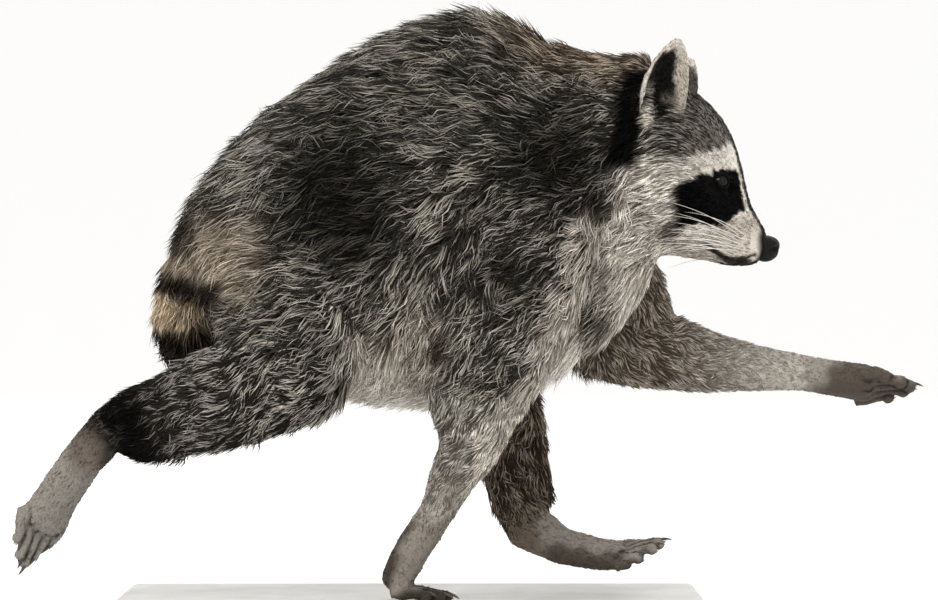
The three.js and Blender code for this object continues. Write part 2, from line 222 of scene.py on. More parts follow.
# A paw as the solids have it: where the toes start, which way they point, which way is the back of the
# paw, and the side that the thumb is on. Toe lengths are from the thumb outwards.
TOES = {
    "hand_front_right": dict(start=(-1, -36, 22.5), ahead=(1, 0, -0.1), back=(0.1, 0, 1), thumb=1),
    "hand_front_left": dict(start=(319, 37, 158.5), ahead=(1, 0, 0.02), back=(0.1, 0.62, 0.78), thumb=-1),
    "foot_hind_right": dict(start=(-247, -46, 65), ahead=(-0.38, 0, -0.92), back=(0.5, -0.8, -0.3), thumb=1),
    "foot_hind_left": dict(start=(149, 39.5, 42.5), ahead=(1, 0, 0.34), back=(-0.3, -0.33, 1), thumb=-1),
}
TOE_LENGTHS = {"hand": [17, 26, 30, 29, 22], "foot": [17, 25, 28, 27, 20]}
TOE_SPREAD, TOE_GIRTH = {"hand": 0.13, "foot": 0.17}, {"hand": 1.14, "foot": 1.0}
TOE_PITCH, TOE_SET_BACK = 8, 2.6
CLAW_OUT = 5.2
TOES_CUT_AHEAD, TOES_CUT_UP = 1.5 * MM, 8.5 * MM  # how near the knuckles the solids' own toes are cut


def toes_of(paw):
    """Each toe's knuckle, direction, the paw's back, its length in metres, and its girth."""
    t = TOES[paw]
    along = Vector(t["ahead"]).normalized()
    up = Vector(t["back"])
    up = (up - along * up.dot(along)).normalized()
    outward = up.cross(along) * -t["thumb"]
    kind, found = kind_of(paw), []
    for i, length in enumerate(TOE_LENGTHS[kind]):
        offset = i - 2
        knuckle = Vector(t["start"]) + outward * offset * TOE_PITCH - along * abs(offset) * TOE_SET_BACK
        way = Matrix.Rotation(offset * t["thumb"] * TOE_SPREAD[kind], 3, up) @ along
        found.append((np.array(knuckle) * MM, np.array(way), np.array(up), length * MM, TOE_GIRTH[kind]))
    return found


def toe_line(knuckle, way, up, length, girth):
    """A toe's middle line, from behind the knuckle to the middle of its pad, and its radii."""
    reach = length / MM
    stations = [(-7, -0.9, 3.9), (0, 0.3, 3.6), (0.42 * reach, 1.1, 3.35), (0.66 * reach, 0.5, 3.0),
                (reach - 4.9, -0.9, 4.1)]
    line = np.array([knuckle + (way * s + up * rise) * MM for s, rise, _ in stations])
    return line, np.array([r for _, _, r in stations]) * girth * MM


def toe_distances(points, paw):
    """For each point: how far outside the nearest toe and the next one it is, how far out along the nearest
    it is as a share of its length, and the place on that toe's middle line."""
    near, next_, where = np.full(len(points), 1.0), np.full(len(points), 1.0), np.full(len(points), -1.0)
    middle = np.zeros((len(points), 3))
    start = np.array(TOES[paw]["start"]) * MM
    mine = np.flatnonzero(np.linalg.norm(points - start, axis=1) < 55 * MM)
    p = points[mine]
    for toe in toes_of(paw):
        knuckle, way, _, length, _ = toe
        line, radii = toe_line(*toe)
        best, centre = np.full(len(p), 1.0), np.zeros((len(p), 3))
        for a, b, r0, r1 in zip(line, line[1:], radii, radii[1:]):
            t = np.clip((p - a) @ (b - a) / ((b - a) @ (b - a)), 0, 1)
            c = a + t[:, None] * (b - a)
            d = np.linalg.norm(p - c, axis=1) - (r0 + (r1 - r0) * t)
            closer = d < best
            best = np.where(closer, d, best)
            centre[closer] = c[closer]
        closer = best < near[mine]
        next_[mine] = np.where(closer, near[mine], np.minimum(next_[mine], best))
        where[mine[closer]] = ((p - knuckle) @ way / length)[closer]
        middle[mine[closer]] = centre[closer]
        near[mine] = np.where(closer, best, near[mine])
    return near, next_, where, middle


# ---------------------------------------------------------------- the skin
def closed_copy(name):
    """A copy of a node's solid, welded, a little fuller, and without its claws."""
    mesh = nodes[name].data.copy()
    bm = bmesh.new()
    bm.from_mesh(mesh)
    bmesh.ops.remove_doubles(bm, verts=bm.verts, dist=1e-6)
    bm.normal_update()
    if name in PAWS:
        # Its toes are drawn back into the palm here: the skin's own, more slender ones take their place.
        start, way = Vector(TOES[name]["start"]) * MM, Vector(TOES[name]["ahead"]).normalized()
        up = Vector(toes_of(name)[2][2])
        for v in bm.verts:
            ahead = (v.co - start).dot(way) - TOES_CUT_AHEAD
            if ahead > 0 and (v.co - start).dot(up) < TOES_CUT_UP:
                v.co -= way * ahead
    grown = [v.co + v.normal * 0.4 * MM for v in bm.verts]
    for v, co in zip(bm.verts, grown):
        v.co = co
    bm.to_mesh(mesh)
    bm.free()
    return mesh


def ball(centre, radius):
    bm = bmesh.new()
    bmesh.ops.create_icosphere(bm, subdivisions=3, radius=radius, matrix=Matrix.Translation(Vector(centre)))
    return mesh_of(bm, "ball")


def toe_form(toe):
    """One toe as a closed mesh with round ends."""
    line, radii = toe_line(*toe)
    run = np.concatenate([[0], np.cumsum(np.linalg.norm(np.diff(line, axis=0), axis=1))])
    end = run[-1] + radii[-1]
    at = np.linspace(0, end, 40)
    path = np.stack([np.interp(at, run, line[:, k]) for k in range(3)], 1)
    last = unit(line[-1] - line[-2])
    path += last * np.maximum(at - run[-1], 0)[:, None]
    past = np.maximum(at - run[-1], 0) / radii[-1]
    size = np.interp(at, run, radii) * np.sqrt(np.clip(1 - past ** 2, 0, 1))
    points, tris = tube(path, size, 14)
    mesh = bpy.data.meshes.new("toe")
    fill_mesh(mesh, points, tris)
    return mesh


def joined(meshes):
    bm = bmesh.new()
    for mesh in meshes:
        bm.from_mesh(mesh)
        bpy.data.meshes.remove(mesh)
    return mesh_of(bm, "joined")


def remeshed(mesh, voxel):
    work = placed("work", mesh)
    modifier = work.modifiers.new("remesh", "REMESH")
    modifier.mode = "VOXEL"
    modifier.voxel_size = voxel
    done = evaluated(work)
    bpy.data.objects.remove(work)
    return done


# How deep the coat is over the skin in each part, in millimetres.
DEPTH = {"trunk": 10.5, "neck": 5, "head": 4, "jaw": 1.2, "ear": 0.9, "tail": 8.5, "upper_arm": 6,
         "forearm": 2.2, "hand": 0.6, "thigh": 7.2, "shank": 5, "foot": 0.4}
KINDS = list(DEPTH)
VOXEL, SPOTS_APART = 1.25 * MM, 5 * MM
FACES_KEPT = 0.29  # the share of the skin's faces that stays
KEEP_LEVELS = 5


def kind_of(node):
    return next(k for k in KINDS if node.startswith(k))


def within(rng, n):
    """Random places in triangles, as shares of their second and third corners."""
    u, v = rng.random(n), rng.random(n)
    flip = u + v > 1
    u[flip], v[flip] = 1 - u[flip], 1 - v[flip]
    return u, v


def nearest(places, among):
    tree = KDTree(len(among))
    for i, p in enumerate(among):
        tree.insert(p, i)
    tree.balance()
    return np.array([tree.find(p)[1] for p in places])


def parts_of(points):
    """For each point, which node it is nearest to, as columns of ones and zeros."""
    spots, owners = [], []
    for i, name in enumerate(FLESH):
        mesh = nodes[name].data
        co = np.array([v.co for v in mesh.vertices])
        mesh.calc_loop_triangles()
        a, b, c = co[np.array([t.vertices for t in mesh.loop_triangles])].transpose(1, 0, 2)
        area = np.linalg.norm(np.cross(b - a, c - a), axis=1) / 2
        pick = np.repeat(np.arange(len(a)), np.ceil(area / SPOTS_APART ** 2).astype(int))
        u, v = within(np.random.default_rng(i), len(pick))
        spots.append(a[pick] + (b - a)[pick] * u[:, None] + (c - a)[pick] * v[:, None])
        owners.append(np.full(len(pick), i))
    own = np.concatenate(owners)[nearest(points, np.concatenate(spots))]
    out = np.zeros((len(points), len(FLESH)))
    out[np.arange(len(points)), own] = 1
    return out


def by_kind(parts, values):
    """A named value of each kind of part, blended by how much a point belongs to each."""
    return parts @ np.array([values[kind_of(n)] for n in FLESH], float)


def is_kind(parts, *kinds):
    return by_kind(parts, {k: float(k in kinds) for k in KINDS})


def taper(points, parts):
    """The share of its coat's depth that a place keeps: less and less down a lower limb."""
    keep = np.ones(len(points))
    for limb in LIMBS:
        lower, start, least = ("forearm", 0.3, 0.3) if limb.startswith("front") else ("shank", 0.72, 0.35)
        t = along(points, LIMBS[limb][1], LIMBS[limb][2])
        keep -= parts[:, FLESH.index(f"{lower}_{limb}")] * (1 - least) * ramp(t, start, 1.0)
    return keep


def head_depth(points):
    """The coat's depth on the head: deep on the cheeks, next to nothing on the muzzle."""
    h = of_head(points) / MM
    x, y, z = h[:, 0], np.abs(h[:, 1]), h[:, 2]
    depth = 0.4 + 0.7 * ramp(x, 234, 222) + 1.2 * ramp(x, 222, 196)
    depth += 5.0 * ramp(x, 205, 180) * ramp(y, 16, 38) * ramp(z, 330, 300)
    depth += 2.4 * ramp(x, 190, 168)
    return depth


def make_skin():
    """The one skin under the coat: the solids of flesh run together, evened out and set in by its depth."""
    meshes = [closed_copy(n) for n in FLESH]
    meshes += [ball(from_head(EYE_AT * [1, side, 1]), SOCKET) for side in (-1, 1)]
    meshes += [toe_form(toe) for paw in PAWS for toe in toes_of(paw)]
    fine = remeshed(joined(meshes), VOXEL)
    said(f"remeshed: {len(fine.vertices)} points")
    form = Form(fine)
    parts = parts_of(form.points)
    said("parts known")
    parts = form.smooth(parts, 12)
    paw, ear, head = is_kind(parts, "hand", "foot"), is_kind(parts, "ear"), is_kind(parts, "head", "jaw")
    # The paws and ears keep their form, the head most of it, and the rest loses the marks of its sections.
    points = form.smooth(form.points, 2)
    toe = np.zeros(len(points))
    for name in PAWS:
        near, _, where, _ = toe_distances(points, name)
        toe = np.maximum(toe, ramp(near, 2.5 * MM, 1.2 * MM) * ramp(where, -0.15, 0.1))
    toe = form.smooth(toe, 3)
    points = form.smooth(points, 14, 1 - np.clip(toe + ear, 0, 1))
    body = 1 - np.clip(paw * 1.2 + ear + head, 0, 1)
    points = form.smooth(points, 60, body)
    said("evened out")
    depth = by_kind(parts, DEPTH) * taper(points, parts)
    depth = depth * (1 - head) + head * head_depth(points)
    depth = form.smooth(depth, 40) * (1 - toe)
    normals = form.smooth(form.normals(points), 3)
    points = points - unit(normals) * depth[:, None] * MM
    points = form.smooth(points, 8, body)
    fine.vertices.foreach_set("co", points.astype(np.float32).ravel())
    fine.update()
    # Fewer faces under the long coat, all of them on the head and the paws.
    work = placed("work", fine)
    group = work.vertex_groups.new(name="bare")
    keep = np.clip(paw * 1.3 + ear * 1.3 + head * 1.2, 0, 1)
    for level in range(1, KEEP_LEVELS + 1):
        chosen = np.flatnonzero(np.round(keep * KEEP_LEVELS) == level)
        group.add(chosen.tolist(), level / KEEP_LEVELS, "REPLACE")
    modifier = work.modifiers.new("fewer", "DECIMATE")
    modifier.ratio = FACES_KEPT
    modifier.vertex_group = "bare"
    modifier.invert_vertex_group = True
    modifier.vertex_group_factor = 6
    skin = evaluated(work)
    bpy.data.objects.remove(work)
    said(f"skin: {len(skin.polygons)} faces")
    return skin


# ---------------------------------------------------------------- the skin's detail
def lids_frame(side):
    """The eye's middle, the way it looks, and the ways to its outer corner and its upper lid."""
    out = unit(np.array([0.6, 0.8 * side, 0.1]))
    corner = unit(np.cross([0, 0, 1.0], out) * side)  # back, along the cheek
    corner = unit(-np.sign(corner[0]) * corner + [0, 0, 0.28])
    corner = unit(corner - out * (corner @ out))
    up = np.cross(corner, out) * side
    turn = HEAD_ROTATION.T
    return from_head(EYE_AT * [1, side, 1]), out @ turn, corner @ turn, up * np.sign(up[2]) @ turn


OPENING = math.sin(math.radians(47)), math.sin(math.radians(36))  # half its length and height, as shares


def opening(points, side):
    """How far from the middle of the eye's opening each point is: 1 on the edge of the lids."""
    centre, out, corner, up = lids_frame(side)
    d = unit(points - centre)
    a, b, c = d @ corner, d @ up, d @ out
    narrow = 1 - 0.35 * np.clip(np.abs(a) / OPENING[0], 0, 1) ** 2
    e = np.sqrt((a / OPENING[0]) ** 2 + (b / OPENING[1] / narrow) ** 2)
    return np.where(c > 0, e, 9.0)


MOUTH = [(193, 257.5), (200, 255.5), (206, 252), (212, 247.5), (217, 244.5), (223, 243.6), (229, 245.5),
         (235, 247.5)]  # its line from the corner forward, as x and z of the head's own frame


def mouth_distance(x, z):
    best = np.full(len(x), 99.0)
    for (x0, z0), (x1, z1) in zip(MOUTH, MOUTH[1:]):
        t = np.clip(((x - x0) * (x1 - x0) + (z - z0) * (z1 - z0)) / ((x1 - x0) ** 2 + (z1 - z0) ** 2), 0, 1)
        best = np.minimum(best, np.hypot(x - x0 - t * (x1 - x0), z - z0 - t * (z1 - z0)))
    return best


def finer(mesh, chosen, cuts):
    """Cuts the edges whose two ends are chosen."""
    bm = bmesh.new()
    bm.from_mesh(mesh)
    bm.verts.ensure_lookup_table()
    edges = [e for e in bm.edges if chosen[e.verts[0].index] and chosen[e.verts[1].index]]
    bmesh.ops.subdivide_edges(bm, edges=edges, cuts=cuts, use_grid_fill=True)
    bmesh.ops.triangulate(bm, faces=bm.faces)
    bm.to_mesh(mesh)
    bm.free()
    mesh.update()


def sculpted(mesh):
    """Lids, lips, the folds between the toes and their pads, pushed into the skin."""
    form = Form(mesh)
    h = of_head(form.points) / MM
    chosen = (h[:, 0] > 190) & (h[:, 2] < 272)
    for paw in PAWS:
        near, _, where, _ = toe_distances(form.points, paw)
        chosen |= (near < 1.5 * MM) & (where > -0.1)
    finer(mesh, chosen, 1)
    form = Form(mesh)
    eyes = [from_head(EYE_AT * [1, side, 1]) for side in (-1, 1)]
    close = np.min([np.linalg.norm(form.points - e, axis=1) for e in eyes], axis=0)
    finer(mesh, close < 12.5 * MM, 2)
    form = Form(mesh)
    p = form.points
    close = np.min([np.linalg.norm(p - e, axis=1) for e in eyes], axis=0)
    h = of_head(p) / MM
    local = np.clip(ramp(close, 14 * MM, 10 * MM) + ramp(h[:, 0], 192, 198) * ramp(h[:, 2], 272, 266), 0, 1)
    p = form.smooth(p, 10, local)
    normals = unit(form.smooth(form.normals(p), 2))
    for side, centre in zip((-1, 1), eyes):
        e = opening(p, side)
        d = np.linalg.norm(p - centre, axis=1)
        way = unit(p - centre)
        lid = EYE_RADIUS + 1.0 * MM + 0.5 * MM * ramp(e, 1.5, 1.05)
        inside = ramp(e, 1.06, 0.9)
        want = lid * (1 - inside) + (EYE_RADIUS - 1.6 * MM) * inside
        hold = ramp(e, 2.1, 1.25) * (d < 13 * MM)
        # A crease over the upper lid and one under the lower.
        crease = np.exp(-((e - 1.62) / 0.13) ** 2) * 0.5 * MM * (d < 13 * MM)
        p = p + way * ((want - d) * hold)[:, None] - normals * crease[:, None]
    # The line of the mouth, with the lip standing a little proud over it.
    h = of_head(p) / MM
    gap = mouth_distance(h[:, 0], h[:, 2])
    on = ramp(h[:, 0], 192, 198) * ramp(np.abs(h[:, 1]), 3, 7)
    sunk = on * (1.5 * np.exp(-(gap / 0.9) ** 2) - 0.5 * np.exp(-((gap - 2.6) / 1.3) ** 2)) * MM
    p = p - normals * sunk[:, None]
    # The whisker bed swells a little on each side of the nose.
    beds = [from_head(np.array([226, side * 13, 255]) * MM) / MM for side in (-1, 1)]
    swell = sum(spot(p, bed, (10, 8, 8), 1) for bed in beds)
    p = p + normals * (swell * 0.7 * MM)[:, None]
    # The toes are drawn to their full round form, with sharp folds between them.
    for paw in PAWS:
        near, _, where, middle = toe_distances(p, paw)
        hold = ramp(where, -0.2, 0.12) * ramp(near, 4 * MM, 2.6 * MM)
        p = p + unit(middle - p) * (near * hold)[:, None]
        start = np.array(TOES[paw]["start"]) * MM
        # Round pads under the knuckles.
        _, way, up, _, _ = toes_of(paw)[2]
        across = np.cross(up, way)
        for k in (-1.4, -0.5, 0.5, 1.4):
            pad = start + (across * k * TOE_PITCH - up * 5.5 - way * 2.5) * MM
            rise = np.exp(-(np.linalg.norm(p - pad, axis=1) / (3.8 * MM)) ** 2) * 1.5 * MM
            p = p + normals * rise[:, None]
    mesh.vertices.foreach_set("co", p.astype(np.float32).ravel())
    mesh.update()
    said(f"sculpted: {len(mesh.polygons)} faces")


# ---------------------------------------------------------------- eyes, nose, claws and whiskers
def new_material(name, colour, rough, specular):
    material = bpy.data.materials.new(name)
    material.use_nodes = True
    shader = material.node_tree.nodes["Principled BSDF"]
    if colour:
        shader.inputs["Base Color"].default_value = (*linear(*colour), 1)
    shader.inputs["Roughness"].default_value = rough
    shader.inputs["Specular IOR Level"].default_value = specular
    return material, material.node_tree, shader


def node(tree, kind, **values):
    """A new shader node, with values for its sockets (a line between words stands for a space)."""
    made = tree.nodes.new("ShaderNode" + kind)
    for name, value in values.items():
        made.inputs[name.replace("_", " ")].default_value = value
    return made


def hair_attribute(tree):
    attribute = node(tree, "Attribute")
    attribute.attribute_name = "hair"
    return attribute


def linked(tree, *links):
    """Links given as a node, its output, another node and its input."""
    for start, out, end, into in links:
        tree.links.new(start.outputs[out], end.inputs[into])


def noise_into(tree, shader, scale, low, high, bump=None, bump_scale=None):
    """Colour that varies between two colours, and a bump."""
    place = node(tree, "NewGeometry")
    noise = node(tree, "TexNoise", Scale=scale, Detail=3)
    blend = node(tree, "ValToRGB")
    for stop, at, colour in zip(blend.color_ramp.elements, (0.32, 0.68), (low, high)):
        stop.position, stop.color = at, (*linear(*colour), 1)
    linked(tree, (place, "Position", noise, "Vector"), (noise, "Fac", blend, "Fac"),
           (blend, "Color", shader, "Base Color"))
    if bump:
        cells = node(tree, "TexVoronoi", Scale=bump_scale)
        bumps = node(tree, "Bump", Strength=bump, Distance=0.0004)
        linked(tree, (place, "Position", cells, "Vector"), (cells, "Distance", bumps, "Height"),
               (bumps, "Normal", shader, "Normal"))


def arrays_piece(name, points, tris, material):
    mesh = bpy.data.meshes.new(name)
    fill_mesh(mesh, np.asarray(points), np.asarray(tris))
    mesh.materials.append(material)
    piece = new_piece(name, mesh)
    return piece


def coloured(mesh, colours):
    """Gives each point of a mesh the colour that its material reads."""
    rgba = np.ones((len(colours), 4), np.float32)
    rgba[:, :3] = colours
    mesh.attributes.new("hair", "FLOAT_COLOR", "POINT").data.foreach_set("color", rgba.ravel())


def sphere_form(subdivisions):
    bm = bmesh.new()
    bmesh.ops.create_icosphere(bm, subdivisions=subdivisions, radius=1)
    points = np.array([v.co for v in bm.verts])
    tris = np.array([[v.index for v in f.verts] for f in bm.faces])
    bm.free()
    return points, tris


def make_eyes():
    """Eyeballs whose iris and pupil are colours of their points."""
    material, tree, shader = new_material("eye", (14, 9, 6), 0.1, 0.1)
    shader.inputs["Coat Weight"].default_value = 0.14
    shader.inputs["Coat Roughness"].default_value = 0.02
    linked(tree, (hair_attribute(tree), "Color", shader, "Base Color"))
    for side, name in ((-1, "right"), (1, "left")):
        centre, out, corner, up = lids_frame(side)
        ball_points, tris = sphere_form(5)
        c = ball_points @ out
        # The cornea stands a little forward of the ball.
        points = centre + ball_points * EYE_RADIUS * (1 + 0.055 * ramp(c, 0.72, 0.95))[:, None]
        piece = arrays_piece(f"eyeball_{name}", points, tris, material)
        turn = np.arctan2(ball_points @ up, ball_points @ corner)
        spokes = np.sin(turn * 34 + np.sin(c * 40)) * 0.5 + 0.5
        iris = linear(24, 15, 10) * (0.55 + 0.5 * spokes[:, None])
        pupil = ramp(c, 0.845, 0.875)[:, None]
        rim = ramp(c, 0.60, 0.66)[:, None]
        inside = iris * (1 - pupil) + linear(4, 4, 4) * pupil
        coloured(piece.data, linear(12, 9, 7) * (1 - rim) + inside * rim)
        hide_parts(f"eye_{name}")


NOSE_AT = np.array([241.4, 0, 252.6])  # the pad's middle in the head's own frame, in millimetres


def make_nose():
    """The nose pad, with its nostrils and the groove between them."""
    ball_points, tris = sphere_form(5)
    x, y, z = ball_points.T
    p = ball_points * np.array([9.6, 8.8, 9.0])
    p[:, 1] *= 1 + 0.16 * z  # wider above than at the lip
    p[:, 0] -= 5.0 * ramp(x, 0.2, -1) * ramp(z, -0.6, 0.9)  # its back runs up the bridge
    p[:, 2] += 2.2 * ramp(x, 0.1, -1) * ramp(z, 0, 0.9)
    p[:, 0] += 1.1 * ramp(z, -0.2, 0.7) * ramp(x, 0, 0.8)  # the tip overhangs the lip
    push = np.zeros(len(p))
    for side in (-1, 1):
        # A comma: a round hole in front with a slit that runs out and back from it.
        for t in np.linspace(0, 1, 9):
            down = -0.10 + 0.02 * t - 0.20 * t * t
            at = unit(np.array([0.80 - 0.42 * t, side * (0.44 + 0.50 * t), down]))
            d = np.arccos(np.clip(ball_points @ at, -1, 1))
            push = np.maximum(push, np.exp(-(d / (0.26 - 0.13 * t)) ** 2) * (3.4 - 1.9 * t))
        rim = unit(np.array([0.66, side * 0.62, 0.25]))
        d = np.arccos(np.clip(ball_points @ rim, -1, 1))
        p += ball_points * (np.exp(-(d / 0.30) ** 2) * 0.7)[:, None]
    push += np.exp(-(y / 0.06) ** 2) * ramp(x, 0.2, 0.7) * ramp(z, 0.35, -0.1) * 0.9
    p -= ball_points * push[:, None]
    points = from_head((p + NOSE_AT) * MM)
    material, tree, shader = new_material("nose", (12, 11, 10), 0.45, 0.12)
    noise_into(tree, shader, 300, (8, 7, 7), (19, 17, 16), bump=0.8, bump_scale=1500)
    piece = arrays_piece("nose_pad", points, tris, material)
    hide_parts("nose")


def tube(path, radii, sides):
    """Points and triangles of a closed tube along a path, ending in a point."""
    path, radii = np.asarray(path, float), np.asarray(radii, float)
    way = unit(np.gradient(path, axis=0))
    ref = np.array([0.0, 0.0, 1.0]) if abs(way[0][2]) < 0.9 else np.array([1.0, 0, 0])
    across = unit(np.cross(way, ref))
    other = np.cross(way, across)
    angle = np.arange(sides) / sides * 2 * math.pi
    rings = path[:-1, None] + radii[:-1, None, None] * (
        across[:-1, None] * np.cos(angle)[None, :, None] + other[:-1, None] * np.sin(angle)[None, :, None])
    points = np.concatenate([path[:1], rings.reshape(-1, 3), path[-1:]])
    tris = []
    n = len(path) - 1
    for i in range(sides):
        j = (i + 1) % sides
        tris.append((0, 1 + j, 1 + i))
        for r in range(n - 1):
            a, b = 1 + r * sides + i, 1 + r * sides + j
            tris += [(a, b, b + sides), (a, b + sides, a + sides)]
        tris.append((1 + (n - 1) * sides + i, 1 + (n - 1) * sides + j, len(points) - 1))
    return points, np.array(tris)


def gathered(tubes):
    points, tris, start = [], [], 0
    for p, t in tubes:
        points.append(p)
        tris.append(t + start)
        start += len(p)
    return np.concatenate(points), np.concatenate(tris)


def make_claws():
    """Slender claws that curve down from the ends of the toes, one piece to a paw."""
    material, tree, shader = new_material("claw", (60, 52, 46), 0.36, 0.4)
    noise_into(tree, shader, 260, (44, 38, 34), (84, 74, 66))
    for paw in PAWS:
        tubes = []
        for knuckle, way, up, length, _ in toes_of(paw):
            t = np.linspace(0, 1, 9)
            out = (length - 4.2 * MM) + t * (4.2 + CLAW_OUT) * MM
            rise = (1.7 + 0.5 * t - 3.6 * t ** 2.2) * MM
            path = knuckle + way * out[:, None] + up * rise[:, None]
            tubes.append(tube(path, 1.25 * MM * (1 - t ** 1.7) ** 0.75 + 0.05 * MM, 8))
        points, tris = gathered(tubes)
        arrays_piece(paw.replace("hand", "claws").replace("foot", "claws"), points, tris, material)


def make_whiskers():
    """Four rows of four on each side, as one piece."""
    material, tree, shader = new_material("whisker", (214, 208, 200), 0.4, 0.4)
    noise_into(tree, shader, 60, (200, 193, 184), (228, 223, 216))
    rng = np.random.default_rng(71)
    tubes = []
    for side in (-1, 1):
        for row, z in enumerate((258.5, 255.5, 252.5, 249.8)):
            for k in range(4):
                start = np.array([231 - 3.4 * k - row * 0.5, side * (11.5 + 1.3 * k), z - 0.7 * k])
                length = rng.uniform(52, 80) * (1 - 0.06 * row)
                rise = 0.60 - 0.13 * row + rng.normal(0, 0.06)
                way = unit(np.array([-0.74, side * (0.92 - 0.03 * k), rise]))
                t = np.linspace(0, 1, 10)[:, None]
                droop = np.array([-0.14, -side * 0.12, -0.16 - 0.08 * rng.random()])
                path = start + way * length * t + droop * length * t ** 2
                tubes.append(tube(from_head(path * MM), 0.34 * MM * (1 - t[:, 0] * 0.75), 5))
    points, tris = gathered(tubes)
    arrays_piece("whiskers", points, tris, material)


def finish_base():
    """Plain satin paint on the flat stand."""
    material, tree, shader = new_material("stand", (196, 194, 190), 0.5, 0.4)
    noise_into(tree, shader, 40, (190, 188, 184), (202, 200, 196), bump=0.12, bump_scale=700)
    base = nodes["stand_base"]
    base.data.materials.clear()
    base.data.materials.append(material)


# ---------------------------------------------------------------- where things lie
def along(points, start, end):
    """How far from start to end each point is, from 0 to 1. Places are in millimetres."""
    a, b = np.array(start, float) * MM, np.array(end, float) * MM
    return np.clip((points - a) @ (b - a) / ((b - a) @ (b - a)), 0, 1)


def wavy(points, size, seed, waves=12):
    """A smooth random number at each place, about -1 to 1, that changes over the given size in metres."""
    rng = np.random.default_rng(seed)
    k = unit(rng.normal(size=(waves, 3))) * (2 * math.pi / (size * rng.uniform(0.7, 1.5, (waves, 1))))
    return np.sin(points @ k.T + rng.uniform(0, 2 * math.pi, waves)).sum(1) / math.sqrt(waves)


def spot(points, centre, reach, soft=0.5):
    """1 near the centre, 0 past the reach along each axis, in millimetres."""
    d = np.linalg.norm((points / MM - np.array(centre)) / np.array(reach), axis=1)
    return ramp(d, 1.0, 1.0 - soft)


# The limbs' bones, in millimetres: upper, lower and paw, then the way the toes point.
LIMBS = {
    "front_right": [(100, -40, 306), (45, -55, 160), (12, -42, 67), (-8, -37, 26), (34, -37, 20)],
    "front_left": [(107, 38, 292), (127, 52, 196), (272, 40, 168), (319, 37, 159), (350, 37, 159)],
    "hind_right": [(-90, -34, 264), (-66, -62, 178), (-197, -50, 131), (-246, -46, 66), (-256, -46, 38)],
    "hind_left": [(-62, 36, 250), (50, 61, 180), (79, 48, 63), (149, 39.5, 42), (178, 39.5, 52)],
}
TAIL_PATH = [(-124, 0, 262), (-142, 3, 243), (-152, 8, 214), (-148, 17, 190), (-131, 27, 169),
             (-104, 37, 153), (-70, 47, 145)]


